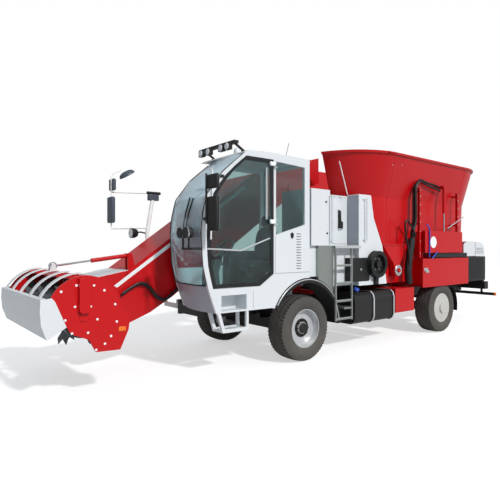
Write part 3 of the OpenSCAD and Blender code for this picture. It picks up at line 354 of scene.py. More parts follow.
def tubeParts(points, radius, sides=10, samples=None):
    # A round section carried along a path, its ends closed by a centre point each
    path = smoothPath(points, samples) if samples else np.asarray(points, float)
    along = np.gradient(path, axis=0)
    along /= np.linalg.norm(along, axis=1)[:, None]
    guide = np.array([0.31, 0.17, 0.94]) if abs(along[:, 2]).max() < 0.97 else np.array([0.77, 0.55, 0.31])
    side = np.cross(along, guide)
    side /= np.linalg.norm(side, axis=1)[:, None]
    up = np.cross(side, along)
    angle = np.linspace(0, 2 * math.pi, sides, endpoint=False)
    ring = path[:, None, :] + radius * (np.cos(angle)[None, :, None] * side[:, None, :]
                                        + np.sin(angle)[None, :, None] * up[:, None, :])
    rows = len(path)
    around = np.arange(sides)
    faces = gridFaces(rows, sides, closeCols=True) + capFaces(rows * sides, around)
    faces += capFaces(rows * sides + 1, (rows - 1) * sides + around, turned=True)
    return np.vstack([ring.reshape(-1, 3), path[0], path[-1]]), faces


def revolveParts(profile, centre, axis, sides=48):
    # A profile of (radius, distance along the axis), closed on itself and turned about X, Y or Z
    r, h = np.asarray(profile, float).T
    angle = np.linspace(0, 2 * math.pi, sides, endpoint=False)
    x = np.outer(np.cos(angle), r)
    y = np.outer(np.sin(angle), r)
    z = np.tile(h, (sides, 1))
    order = {"X": (z, x, y), "Y": (y, z, x), "Z": (x, y, z)}[axis]
    verts = np.stack(order, -1).reshape(-1, 3) + np.asarray(centre)
    return verts, gridFaces(sides, len(r), closeRows=True, closeCols=True)


def addBoxes(name, boxes, finish, body, slot=None, bevel=0.004):
    # Boxes in one mesh, with softened edges
    return addPiece(name, *boxParts(boxes), finish, body, slot, bevel=bevel)


def addSlab(name, outline, y0, y1, finish, body, slot=None, bevel=0.002):
    # One plate with softened edges, its Y planes in either order
    return addPiece(name, *slabParts(outline, *sorted((y0, y1))), finish, body, slot, bevel=bevel)


def addTubes(name, paths, radius, finish, body, slot=None, sides=10, samples=None):
    # Several tubes of one radius in one mesh
    parts = [tubeParts(points, radius, sides, samples) for points in paths]
    return addPiece(name, *joinParts(parts), finish, body, slot, 60)


def addRevolved(name, turns, finish, body, slot=None, sides=48, sharpDeg=35.0):
    # Turned shapes in one mesh, each given as profile, centre, axis
    parts = [revolveParts(profile, centre, axis, sides) for profile, centre, axis in turns]
    return addPiece(name, *joinParts(parts), finish, body, slot, sharpDeg)


def outwards(profile, side):
    # A profile whose distances point to the left (side -1) or the right (side 1)
    return [(r, side * h) for r, h in profile]


def addBolts(name, places, axis, outward, radius, height, finish, body, slot=None, sides=6):
    # Bolt heads: short prisms with a chamfered top, closed underneath
    profile = [(1e-4, 0), (radius, 0), (radius, height * 0.75), (radius * 0.8, height), (1e-4, height)]
    turns = [(outwards(profile, outward), place, axis) for place in places]
    return addRevolved(name, turns, finish, body, slot, sides)


def acrossSide(side, span):
    # A span of distances from the middle, on the left (side -1) or the right (side 1), in rising order
    return sorted(side * y for y in span)


def aroundLine(centreY, half):
    # The two Y values half a width to each side of a centre
    return (centreY - half, centreY + half)


def ringPlaces(centre, radius, count, turn=0.0):
    # Places evenly round an axis along Y
    x, y, z = centre
    return [(x + radius * math.cos(t), y, z + radius * math.sin(t))
            for t in np.linspace(0, 2 * math.pi, count, endpoint=False) + turn]


cushionSet = dict(rows=40, around=72, boxPower=0.42, crown=0.10, seamDepth=0.10, seamHalf=0.03)


def addCushion(name, centre, size, leanDeg, seams):
    # A rounded block: each point of a sphere is pushed towards a box by a power of its direction,
    # crowned in the middle and drawn in along the seams. Poles lie on the local Z axis.
    s = cushionSet
    lat = np.linspace(-math.pi / 2, math.pi / 2, s["rows"] + 2)[1:-1]
    lon = np.linspace(0, 2 * math.pi, s["around"], endpoint=False)
    lat, lon = np.meshgrid(lat, lon, indexing="ij")
    shape = np.stack([np.cos(lat) * np.cos(lon), np.cos(lat) * np.sin(lon), np.sin(lat)], -1).reshape(-1, 3)
    shape = np.vstack([shape, [0, 0, -1], [0, 0, 1]])
    shape = np.sign(shape) * np.abs(shape) ** s["boxPower"]
    shape[:, 2] *= 1 - s["crown"] * (shape[:, 0] ** 2 + shape[:, 1] ** 2)
    groove = sum(np.exp(-((shape[:, 1] - seam) / s["seamHalf"]) ** 2) for seam in seams)
    shape[:, 2] *= 1 - s["seamDepth"] * groove
    verts = tilted(shape * np.asarray(size) / 2, leanDeg, 0) + np.asarray(centre)
    count = s["rows"] * s["around"]
    around = np.arange(s["around"])
    faces = gridFaces(s["rows"], s["around"], closeCols=True) + capFaces(count, around)
    faces += capFaces(count + 1, count - s["around"] + around, turned=True)
    piece = addPiece(name, verts, faces, seatCloth, "chassis", "seat_fabric", 60)
    return piece


# Wheels: tyres with grooves round and across the tread, hubs and nuts
wheelSet = dict(tyreR=0.5248, rimR=0.308, width=0.385, wheelY=1.055, frontX=-1.5, rearX=2.66, axleZ=0.525,
                grooveMm=14, sipeMm=6, dropMm=12, pitches=56, around=448, wallRows=14, treadRows=41,
                hubIn=0.120, nuts=8, nutRing=0.118, nutR=0.017, nutH=0.036,
                coverIn=0.014, screws=6, screwRing=0.20, screwTurn=0.3, screwR=0.008, screwH=0.004)
hubProfile = [(1e-4, 0.062), (0.070, 0.062), (0.082, 0.050), (0.086, 0.006), (0.150, 0.004),
              (0.152, -0.004), (1e-4, -0.004)]


def addTyre(name, x, side, body):
    # Profile: bead, bulged wall, rounded shoulder, tread. Grooves run round at three places, slots cross
    # the shoulders at the pitch, and slanted sipes cross the middle.
    s = wheelSet
    half = s["width"] / 2
    wall = s["tyreR"] - s["rimR"]
    u = np.linspace(0, 1, s["wallRows"] + 1)
    wallR = s["rimR"] + wall * 0.88 * u
    wallW = half * (0.82 + 0.18 * np.sin(math.pi * np.clip(u * 0.95 + 0.04, 0, 1)) ** 0.7)
    v = np.linspace(-1, 1, s["treadRows"])
    treadR = s["tyreR"] - s["dropMm"] / 1000 * np.abs(v) ** 3
    treadW = v * (half * 0.86)
    profileR = np.concatenate([wallR[:-1], treadR, wallR[:-1][::-1]])
    profileW = np.concatenate([-wallW[:-1], treadW, wallW[:-1][::-1]])
    isTread = np.pad(np.ones(s["treadRows"]), s["wallRows"])
    across = np.pad(v, s["wallRows"])
    angle = np.linspace(0, 2 * math.pi, s["around"], endpoint=False)
    phase = (angle * s["pitches"] / (2 * math.pi)) % 1.0
    ringGroove = sum((np.abs(across - c) < 0.045).astype(float) for c in (-0.5, 0.0, 0.5)) * isTread
    shoulder = (np.abs(across) > 0.62) * isTread
    slot = (phase < 0.26).astype(float)
    slant = (phase + across[:, None] * 0.8) % 1.0 < 0.14
    depth = s["grooveMm"] / 1000 * np.clip(ringGroove[None, :] + slot[:, None] * shoulder[None, :], 0, 1)
    sipe = s["sipeMm"] / 1000 * (slant.T * (isTread * (np.abs(across) < 0.46))[None, :])
    bandR = profileR[None, :] - depth - sipe
    xs = x + bandR * np.cos(angle)[:, None]
    zs = s["axleZ"] + bandR * np.sin(angle)[:, None]
    ys = np.tile(side * s["wheelY"] + profileW, (s["around"], 1))
    verts = np.stack([xs, ys, zs], -1).reshape(-1, 3)
    faces = gridFaces(s["around"], len(profileR), closeRows=True, closeCols=True)
    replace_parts(addPiece(name + "Skin", verts, faces, tyreRubber, body, "tyre", 30), name)


for axle, x in (("front", wheelSet["frontX"]), ("rear", wheelSet["rearX"])):
    for sideName, side in (("left", -1), ("right", 1)):
        body = "wheel_" + axle + "_" + sideName
        label = axle + sideName.capitalize()
        outerY = wheelSet["wheelY"] + wheelSet["width"] / 2
        addTyre("tyre_" + axle + "_" + sideName, x, side, body)
        if axle == "front":
            hubAt = (x, side * (outerY - wheelSet["hubIn"]), wheelSet["axleZ"])
            addRevolved("hub" + label, [(outwards(hubProfile, side), hubAt, "Y")], mouldedBlack, body,
                        "black_paint", 40)
            addBolts("wheelNuts" + label, ringPlaces(hubAt, wheelSet["nutRing"], wheelSet["nuts"]), "Y", side,
                     wheelSet["nutR"], wheelSet["nutH"], chassisBlack, body)
        else:
            coverAt = (x, side * (outerY - wheelSet["coverIn"]), wheelSet["axleZ"])
            screws = ringPlaces(coverAt, wheelSet["screwRing"], wheelSet["screws"], wheelSet["screwTurn"])
            addBolts("coverScrews" + label, screws, "Y", side, wheelSet["screwR"], wheelSet["screwH"],
                     zincPlate, body, sides=10)
print("wheels dressed")

# Milling head: bolt heads on both end plates, reflectors
headSet = dict(plateY=1.03, boltR=0.015, boltH=0.0035,
               bolts=[(-5.040, 1.379), (-4.837, 1.369), (-4.712, 1.305), (-5.210, 1.316), (-4.578, 1.129),
                      (-5.057, 1.134), (-4.875, 1.124), (-4.558, 0.917), (-4.630, 0.749), (-4.705, 0.666),
                      (-4.811, 0.606), (-4.907, 0.819), (-5.091, 0.831), (-5.165, 0.989), (-4.797, 0.967)],
               reflectorX=(-4.535, -4.445), reflectorZ=(0.795, 0.850), reflectorThick=0.010,
               cap=(-4.950, 1.010), capR=0.062, channelOut=0.060,
               channel=[(-5.022, 1.085), (-5.000, 1.055), (-4.915, 1.055), (-4.895, 1.085),
                        (-4.895, 1.462), (-5.022, 1.462)])
sidesOf = (("Left", -1), ("Right", 1))
for sideName, side in sidesOf:
    faceY = side * headSet["plateY"]
    addBolts("headBolts" + sideName, [(x, faceY, z) for x, z in headSet["bolts"]], "Y", side,
             headSet["boltR"], headSet["boltH"], plainWhite, "boom", "white_paint", sides=8)
    reflectorY = sorted((faceY, faceY + side * headSet["reflectorThick"]))
    addBoxes("headReflector" + sideName, [(*headSet["reflectorX"], *reflectorY, *headSet["reflectorZ"])],
             orangeLens, "boom", bevel=0.003)

# Boom: a plain white stripe on each side, and the hoses that loop along it
boomSet = dict(y0=-0.010, y1=0.790, stripeThick=0.0015, hoseR=0.018, hoseY=-0.045, hosePitch=(-0.03, 0.02),
               stripe=[(-4.178, 1.267), (-4.130, 1.237), (-1.75, 2.868), (-1.80, 2.905)],
               hose=[(-4.085, 1.126), (-3.913, 1.232), (-3.787, 1.273), (-3.658, 1.218), (-3.526, 1.066),
                     (-3.391, 1.008), (-3.224, 1.121), (-2.95, 1.33), (-2.5, 1.66)])
for sideName, y, out in (("Left", boomSet["y0"], -1), ("Right", boomSet["y1"], 1)):
    addSlab("boomStripe" + sideName, boomSet["stripe"], y, y + out * boomSet["stripeThick"], plainWhite,
            "boom", bevel=0.0)
dy, dz = boomSet["hosePitch"]
addTubes("boomHoses", [[(x, boomSet["hoseY"] + dy * k, z + dz * k) for x, z in boomSet["hose"]]
                       for k in (0, 1)],
         boomSet["hoseR"], hoseRubber, "boom", samples=90, sides=12)

# Deck from the head's back up to the boom's cover, with a cheek on each side, then the drum's bearing
# caps and the channels that stiffen the end plates
deckSet = dict(foot=(-4.6195, 1.3605), top=(-3.962, 1.480), thick=0.008, cheekThick=0.010,
               cheekRest=[(-3.975, 1.410), (-4.325, 1.169), (-4.438, 1.243), (-4.545, 1.262)])
deckLine = [deckSet["foot"], deckSet["top"]]
deckTop = [(x, z + deckSet["thick"]) for x, z in deckLine[::-1]]
addSlab("headDeck", deckLine + deckTop, boomSet["y0"], boomSet["y1"], whiteEnamel, "boom", "white_paint",
        0.001)
for sideName, y in (("Left", boomSet["y0"]), ("Right", boomSet["y1"] - deckSet["cheekThick"])):
    addSlab("headCheek" + sideName, deckLine + deckSet["cheekRest"], y, y + deckSet["cheekThick"], redEnamel,
            "boom", "red_paint", 0.001)
capProfile = [(1e-4, 0.010), (headSet["capR"] - 0.006, 0.010), (headSet["capR"], 0.004),
              (headSet["capR"], 0.0), (1e-4, 0.0)]
capX, capZ = headSet["cap"]
for sideName, side in sidesOf:
    addRevolved("bearingCap" + sideName, [(outwards(capProfile, side),
                                           (capX, side * headSet["plateY"], capZ), "Y")],
                redEnamel, "boom", "red_paint", 40)
for sideName, side in sidesOf:
    addSlab("headChannel" + sideName, headSet["channel"], side * headSet["plateY"],
            side * (headSet["plateY"] + headSet["channelOut"]), redEnamel, "boom", "red_paint", 0.004)
print("head and boom dressed")

# Cab: the front glass follows the CAD's edge in height and its swept, bulged plan
cabSet = dict(edge=[(0.640, -3.120), (1.000, -3.260), (1.300, -3.370), (1.600, -3.440), (2.020, -3.460),
                    (2.280, -3.436), (2.550, -3.365), (2.880, -3.100), (3.210, -2.690)],
              left=-1.22, width=1.14, sweep=0.150, bulge=0.090, glassOut=0.004)


def glassX(y, z):
    # X of the outer face of the front glass: the edge at that height, swept back and bulged across
    share = (y - cabSet["left"]) / cabSet["width"]
    heights, fronts = zip(*cabSet["edge"])
    edge = np.interp(z, heights, fronts)
    return edge + cabSet["sweep"] * share - cabSet["bulge"] * 4 * share * (1 - share) + cabSet["glassOut"]


def onGlass(y, z, lift):
    # A path of points just in front of the glass
    y, z = np.broadcast_arrays(np.asarray(y, float), np.asarray(z, float))
    return np.stack([glassX(y, z) - lift, y, z], -1)


# Seat in place of the plain solid: base, cushion, back and head rest, all stuffed cloth but the base
seatSet = dict(x=-2.06, y=-0.64, floor=1.215,
               base=[(0.17, 0.15, 0.0, 0.085), (0.12, 0.12, 0.075, 0.225), (0.20, 0.19, 0.215, 0.285)],
               seams=(-0.45, 0.45), postR=0.008, postY=0.06)
sx, sy, floorZ = seatSet["x"], seatSet["y"], seatSet["floor"]
seatBase = addBoxes("seatBase", [(sx - halfX, sx + halfX, sy - halfY, sy + halfY, floorZ + low, floorZ + high)
                                 for halfX, halfY, low, high in seatSet["base"]],
                    cabPlastic, "chassis", "black_plastic", 0.01)
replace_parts(seatBase, "cab_seat")
addCushion("seatCushion", (sx - 0.03, sy, 1.545), (0.50, 0.48, 0.13), -3, seatSet["seams"])
addCushion("seatBack", (sx + 0.205, sy, 1.86), (0.11, 0.46, 0.60), 9, seatSet["seams"])
addCushion("headRest", (sx + 0.245, sy, 2.25), (0.08, 0.24, 0.18), 6, ())
addTubes("headRestPosts", [[(sx + 0.24, sy + s * seatSet["postY"], 2.08),
                            (sx + 0.243, sy + s * seatSet["postY"], 2.22)]
                           for s in (-1, 1)], seatSet["postR"], hardChrome, "chassis")

# Left side of the cab: door rail, pull, handle, hinge caps, latch, seams, rails on the pillar, arch trim
leftY = cabSet["left"]
doorSet = dict(railLine=[(-3.372, 1.798), (-3.125, 1.789), (-2.814, 1.772), (-2.270, 1.955)], railR=0.012,
               pullX=-2.336, pullZ=(3.00, 2.237), pullR=0.016, hingeX=(-2.255, -2.21), hingeZ=(2.203, 3.066),
               hingeCap=[(1e-4, -0.016), (0.030, -0.014), (0.036, 0.0), (0.036, 0.004), (1e-4, 0.004)],
               latch=[(-1.835, 2.03), (-1.815, 2.05), (-1.79, 2.05), (-1.772, 2.03), (-1.778, 1.98),
                      (-1.80, 1.955), (-1.826, 1.98)])
addTubes("doorMidRail", [[(x, leftY - 0.006, z) for x, z in doorSet["railLine"]]], doorSet["railR"],
         wheelSilver, "cab_door")
addTubes("doorPull", [[(doorSet["pullX"], leftY - 0.012, z) for z in doorSet["pullZ"]]], doorSet["pullR"],
         wheelSilver, "cab_door")
addBoxes("doorHandle", [(-3.30, -3.16, leftY - 0.028, leftY - 0.002, 1.66, 1.70)], mouldedBlack, "cab_door",
         bevel=0.008)
hingeCaps = [(doorSet["hingeCap"], (x, leftY - 0.037, z), "Y") for z in doorSet["hingeZ"]
             for x in doorSet["hingeX"]]
addRevolved("doorHingeCaps", hingeCaps, plainWhite, "cab_door", "white_paint", 24)
addSlab("cabLatch", doorSet["latch"], leftY - 0.014, leftY + 0.001, mouldedBlack, "chassis")
seamY = (leftY - 0.0008, leftY + 0.001)
addBoxes("cabSeams", [(-2.150, -2.146, *seamY, 1.423, 2.0), (-2.150, -1.412, *seamY, 1.424, 1.429),
                      (-2.580, -2.576, *seamY, 0.935, 1.20)], mouldedBlack, "chassis", "black_plastic", 0.0)
pillarSet = dict(out=0.030, radius=0.011, rails=[[(-3.311, 2.875), (-3.311, 2.412)],
                                                 [(-3.323, 2.295), (-3.334, 1.928)]],
                 stays=[((-3.311, 2.870), (-3.30, 2.875)), ((-3.311, 2.420), (-3.30, 2.42)),
                        ((-3.323, 2.29), (-3.31, 2.29)), ((-3.334, 1.935), (-3.32, 1.935))])
railY = leftY - pillarSet["out"]
pillarRails = [[(x, railY, z) for x, z in rail] for rail in pillarSet["rails"]]
pillarRails += [[(x0, railY, z0), (x1, leftY, z1)] for (x0, z0), (x1, z1) in pillarSet["stays"]]
addTubes("pillarRails", pillarRails, pillarSet["radius"], plainWhite, "chassis", "white_paint")
archSet = dict(x=-1.45, y=-1.2275, z=0.530, radius=0.775, startDeg=148, endDeg=32, foot=(-0.700, 0.60),
               trimR=0.009)
arcAngles = np.radians(np.linspace(archSet["startDeg"], archSet["endDeg"], 40))
trim = np.stack([archSet["x"] + archSet["radius"] * np.cos(arcAngles), np.full(40, archSet["y"]),
                 archSet["z"] + archSet["radius"] * np.sin(arcAngles)], -1)
trim = np.vstack([trim, (archSet["foot"][0], archSet["y"], archSet["foot"][1])])
addTubes("archTrim", [trim], archSet["trimR"], wheelSilver, "chassis", "silver_paint", sides=8)

# Windscreen: two wiper arms with blades lying just off the glass, and the seals round its edge
screenSet = dict(wipers=((-0.88, -0.94, 2.05, 2.50), (-0.80, -0.85, 2.05, 2.52)), armLift=0.022,
                 bladeLift=0.010, sealLift=0.003, sealZ=(1.31, 3.15), sealR=0.007, footR=0.010)
wipers, blades = [], []
for y0, y1, z0, z1 in screenSet["wipers"]:
    ys, zs = np.linspace(y0, y1, 9), np.linspace(z0, z1, 9)
    wipers.append(onGlass(ys, zs, screenSet["armLift"]))
    blades.append(onGlass(ys, zs, screenSet["bladeLift"])[3:])
addTubes("wiperArms", wipers, 0.006, mouldedBlack, "chassis", "black_plastic", sides=8)
addTubes("wiperBlades", blades, 0.006, hoseRubber, "chassis", "black_plastic", sides=8)
sealZs = np.linspace(*screenSet["sealZ"], 40)
# The left seal's X is read from the glass 10 mm further in than its own Y
leftSeal = onGlass(leftY + 0.025, sealZs, screenSet["sealLift"])
leftSeal[:, 1] = leftY + 0.015
rightSeal = onGlass(-0.10, sealZs, screenSet["sealLift"])
addTubes("screenSeal", [leftSeal, rightSeal], screenSet["sealR"], hoseRubber, "chassis", "black_plastic",
         sides=8)
lowerSeal = onGlass(np.linspace(-1.18, -0.11, 24), 1.305, screenSet["sealLift"])
lowerSeal[:, 2] = 1.297
addTubes("screenFoot", [lowerSeal], screenSet["footR"], hoseRubber, "chassis", "black_plastic", sides=8)

# Roof: light bar lenses, beacon, antenna
roofSet = dict(lampX=-2.881, lampY=(-0.98, -0.82, -0.48, -0.28), lampZ=3.288, beacon=(-2.52, -0.75, 3.237),
               antenna=[(-1.74, -1.0, 3.235), (-1.66, -1.0, 3.50)],
               lens=[(1e-4, -0.012), (0.040, -0.009), (0.050, 0.0), (0.050, 0.004), (1e-4, 0.004)],
               dome=[(1e-4, 0.115), (0.022, 0.112), (0.040, 0.098), (0.049, 0.070), (0.050, 0.004),
                     (1e-4, 0.004)],
               foot=[(1e-4, 0.006), (0.056, 0.006), (0.058, -0.004), (1e-4, -0.004)])
roofLamps = [(roofSet["lens"], (roofSet["lampX"], y, roofSet["lampZ"]), "X") for y in roofSet["lampY"]]
addRevolved("roofLampLenses", roofLamps, clearLens, "chassis", "glass", 28)
addRevolved("beaconDome", [(roofSet["dome"], roofSet["beacon"], "Z")], clearLens, "chassis", "glass", 32)
addRevolved("beaconFoot", [(roofSet["foot"], roofSet["beacon"], "Z")], mouldedBlack, "chassis",
            "black_plastic", 32)
addTubes("antenna", [roofSet["antenna"]], 0.004, mouldedBlack, "chassis", "black_plastic")

# Front headlamps on their bracket: chrome rims and lenses
headlampSet = dict(places=[(-3.632, -1.105, 2.015), (-3.632, -0.955, 2.015)],
                   rim=[(0.066, -0.010), (0.074, -0.006), (0.0765, 0.004), (0.0765, 0.012), (0.066, 0.012)],
                   lens=[(1e-4, -0.011), (0.030, -0.0095), (0.055, -0.006), (0.067, 0.0), (0.067, 0.004),
                         (1e-4, 0.004)])
addRevolved("headlampRims", [(headlampSet["rim"], place, "X") for place in headlampSet["places"]], hardChrome,
            "chassis", "chrome", 40)
addRevolved("headlampLenses", [(headlampSet["lens"], place, "X") for place in headlampSet["places"]],
            clearLens, "chassis", "glass", 40)
print("cab dressed")

# Right mirrors in place of the plain solid: a leaning post, tube frames, rounded shells, silvered faces
rightSet = dict(tubes=[([(-3.10, 1.04, 1.18), (-3.12, 1.10, 2.10)], 0.032),
                       ([(-3.12, 1.10, 2.06), (-2.985, 1.14, 2.74)], 0.034),
                       ([(-2.90, 1.14, 2.79), (-3.64, 1.43, 2.79)], 0.012),
                       ([(-3.115, 1.105, 2.16), (-3.64, 1.43, 2.15)], 0.012),
                       ([(-3.64, 1.43, 2.14), (-3.64, 1.43, 3.06), (-3.60, 1.44, 3.13), (-3.44, 1.46, 3.20)],
                        0.011)],
                footBoxes=[(-2.89, -2.81, 0.40, 0.47, 0.81, 0.94), (-2.885, -2.82, 0.46, 0.90, 0.79, 0.86)],
                footTube=([(-2.855, 0.868, 0.84), (-3.10, 1.04, 1.20)], 0.034),
                bracket=(-3.08, -2.88, 1.10, 1.18, 2.66, 2.77),
                bar=[(-3.10, 1.14, 2.795), (-2.84, 1.14, 2.795)],
                shells=[(-3.672, -3.604, 1.335, 1.558, 2.25, 2.71),
                        (-3.640, -3.584, 1.345, 1.558, 2.82, 3.03)],
                faces=[(-3.605, -3.601, 1.35, 1.547, 2.27, 2.69), (-3.585, -3.581, 1.36, 1.547, 2.84, 3.01)],
                bowl=[(1e-4, 0.052), (0.050, 0.048), (0.092, 0.030), (0.108, 0.004), (0.110, -0.006),
                      (0.102, -0.012), (1e-4, -0.012)],
                bowlTilt=-32, bowlScale=1.35, bowlAt=(-3.36, 1.40, 3.12), lampAt=(-3.40, 1.15, 2.07),
                lampBody=[(1e-4, 0.11), (0.062, 0.11), (0.082, 0.07), (0.090, 0.0), (0.084, -0.004),
                          (0.080, 0.004), (1e-4, 0.004)],
                lampLens=[(1e-4, -0.010), (0.055, -0.007), (0.081, 0.0), (0.081, 0.006), (1e-4, 0.006)],
                lampBracket=[(-3.31, 1.15, 2.07), (-3.22, 1.14, 2.09), (-3.12, 1.10, 2.06)])
parts = [tubeParts(points, radius, 14) for points, radius in rightSet["tubes"]]
parts += [boxParts(rightSet["footBoxes"]), tubeParts(*rightSet["footTube"], 14)]
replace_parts(addPiece("rightMirrorFrame", *joinParts(parts), plainWhite, "chassis", "white_paint", 50),
            "right_mirrors")
addBoxes("rightPostBracket", [rightSet["bracket"]], mirrorGrey, "chassis", "black_plastic", 0.012)
addTubes("rightPostBar", [rightSet["bar"]], 0.026, mouldedBlack, "chassis", "black_plastic")
addBoxes("rightMirrorShells", rightSet["shells"], mirrorGrey, "chassis", "black_plastic", 0.022)
addBoxes("rightMirrorFaces", rightSet["faces"], mirrorSilver, "chassis", "chrome", 0.001)
bowlPoints, bowlFaces = revolveParts(rightSet["bowl"], (0, 0, 0), "Z", 40)
bowlPoints = rightSet["bowlScale"] * tilted(bowlPoints, rightSet["bowlTilt"], 0) + rightSet["bowlAt"]
addPiece("rightWideMirror", bowlPoints, bowlFaces, mirrorGrey, "chassis", "black_plastic", 40)
addRevolved("rightWorkLamp", [(rightSet["lampBody"], rightSet["lampAt"], "X")], mouldedBlack, "chassis",
            "black_plastic", 36)
addRevolved("rightWorkLens", [(rightSet["lampLens"], rightSet["lampAt"], "X")], clearLens, "chassis",
            "glass", 36)
addTubes("rightWorkBracket", [rightSet["lampBracket"]], 0.013, mouldedBlack, "chassis", "black_plastic",
         samples=12)

# Left mirrors, in place of theirs
leftSet = dict(tubes=[([(-3.46, -1.33, 2.13), (-3.46, -1.33, 2.79)], 0.014),
                      ([(-3.46, -1.33, 2.752), (-3.125, -1.228, 2.80)], 0.012),
                      ([(-3.46, -1.33, 2.168), (-3.41, -1.228, 2.20)], 0.012)],
               feet=[(-3.15, -3.10, -1.234, -1.22, 2.78, 2.82), (-3.435, -3.385, -1.234, -1.22, 2.18, 2.22)],
               shells=[(-3.456, -3.400, -1.558, -1.318, 2.585, 2.775),
                       (-3.456, -3.392, -1.55, -1.322, 2.035, 2.485)],
               faces=[(-3.402, -3.397, -1.543, -1.333, 2.60, 2.76),
                      (-3.394, -3.389, -1.535, -1.337, 2.055, 2.465)])
parts = [boxParts(leftSet["feet"])] + [tubeParts(points, radius, 14) for points, radius in leftSet["tubes"]]
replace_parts(addPiece("leftMirrorFrame", *joinParts(parts), mouldedBlack, "chassis", "black_plastic", 50),
            "left_mirrors")
addBoxes("leftMirrorShells", leftSet["shells"], mouldedBlack, "chassis", "black_plastic", 0.022)
addBoxes("leftMirrorFaces", leftSet["faces"], mirrorSilver, "chassis", "chrome", 0.001)
print("mirrors made")

# Cabinets, platform and the side between cab and tub
cabinetSet = dict(latch=[(-0.425, 2.28), (-0.43, 2.16), (-0.33, 2.15), (-0.325, 2.27), (-0.375, 2.30),
                         (-0.38, 2.47), (-0.425, 2.49)], latchY=(-1.006, -0.962),
                  knobs=[(-1.018, 2.577), (-0.992, 2.054)],
                  knob=[(1e-4, -0.012), (0.014, -0.012), (0.018, 0.0), (0.018, 0.002), (1e-4, 0.002)],
                  toolBox=(-0.398, 0.136, -1.238, -1.05, 1.216, 1.634), ribZ=(1.30, 1.36, 1.49, 1.55),
                  ribH=0.012, lock=[(1e-4, -0.012), (0.018, -0.010), (0.022, 0.0), (1e-4, 0.002)],
                  lockAt=(-0.13, -1.243, 1.43), paintedShadePlate=(-0.1625, -0.1605, -1.215, -0.965, 1.87, 2.75),
                  ladderPanel=(-0.845, -0.160, -1.104, -1.098, 1.15, 1.806),
                  deckEdge=(-0.835, -0.155, -1.268, -1.255, 1.805, 1.853),
                  rungZ=(0.600, 0.905, 1.210, 1.510), treadLow=0.013, treadHigh=0.020)
addSlab("doorLatch", cabinetSet["latch"], *cabinetSet["latchY"], mouldedBlack, "cabinet_door",
        "black_plastic", 0.008)
addRevolved("cabinetKnobs", [(cabinetSet["knob"], (x, leftY, z), "Y") for x, z in cabinetSet["knobs"]],
            mouldedBlack, "chassis", "black_plastic", 20)
addBoxes("toolBox", [cabinetSet["toolBox"]], mouldedBlack, "chassis", "black_plastic", 0.02)
addBoxes("toolBoxRibs", [(-0.36, 0.10, -1.243, -1.236, z, z + cabinetSet["ribH"])
                         for z in cabinetSet["ribZ"]],
         mouldedBlack, "chassis", "black_plastic", 0.003)
addRevolved("toolBoxLock", [(cabinetSet["lock"], cabinetSet["lockAt"], "Y")], zincPlate, "chassis",
            "bare_steel", 24)
# A 2 mm grey sheet on the fairing's front face: painted shade, for a face turned away from the sun
addBoxes("paintedShadePlate", [cabinetSet["paintedShadePlate"]], shadeGreyEnamel, "chassis", "aluminium", 0.0)
addBoxes("ladderPanel", [cabinetSet["ladderPanel"]], whiteEnamel, "chassis", "white_paint", 0.0)
addBoxes("deckEdge", [cabinetSet["deckEdge"]], wheelSilver, "chassis", "aluminium", 0.003)
addBoxes("rungTreads", [(-0.80, -0.41, -1.267, -1.225, z + cabinetSet["treadLow"],
                         z + cabinetSet["treadHigh"])
                        for z in cabinetSet["rungZ"]], wheelSilver, "chassis", "aluminium", 0.002)

# Tanks: a blue cap on each filler, silver straps round both
tankSet = dict(capX=-0.18, capY=1.13, capZ=0.96, capRise=0.110, capTilt=25, strapX=(0.250, 0.870),
               strapWide=0.035, strapThick=0.003, strapIn=0.50, strapTop=(1.156, 1.012),
               cap=[(1e-4, 0.040), (0.040, 0.038), (0.048, 0.030), (0.050, 0.0), (1e-4, 0.0)],
               strap=[(1.210, 0.958), (1.232, 0.884), (1.232, 0.556), (1.200, 0.480), (1.124, 0.438)])
tilt = math.radians(tankSet["capTilt"])
capAt = (tankSet["capX"], tankSet["capY"] + tankSet["capRise"] * math.sin(tilt),
         tankSet["capZ"] + tankSet["capRise"] * math.cos(tilt))
strapLine = [tankSet["strapTop"]] + tankSet["strap"]
topY, topZ = tankSet["strapTop"]
for sideName, side in sidesOf:
    capPoints, capPolygons = revolveParts(tankSet["cap"], (0, 0, 0), "Z", 36)
    capPoints = (tilted(capPoints, tankSet["capTilt"], 1) + capAt) * (1, side, 1)
    addPiece("fillerCap" + sideName, capPoints, capPolygons, blueHose, "chassis", None, 40)
    parts = []
    for x in tankSet["strapX"]:
        band, bandFaces = ribbonParts([(side * y, z) for y, z in strapLine], tankSet["strapWide"],
                                      -tankSet["strapThick"] * side)
        topYs = sorted((side * tankSet["strapIn"], side * topY))
        parts += [(band + (x, 0, 0), bandFaces),
                  boxParts([(x, x + tankSet["strapWide"], *topYs, topZ, topZ + tankSet["strapThick"])])]
    addPiece("tankStraps" + sideName, *joinParts(parts), wheelSilver, "chassis", "bare_steel", 30)

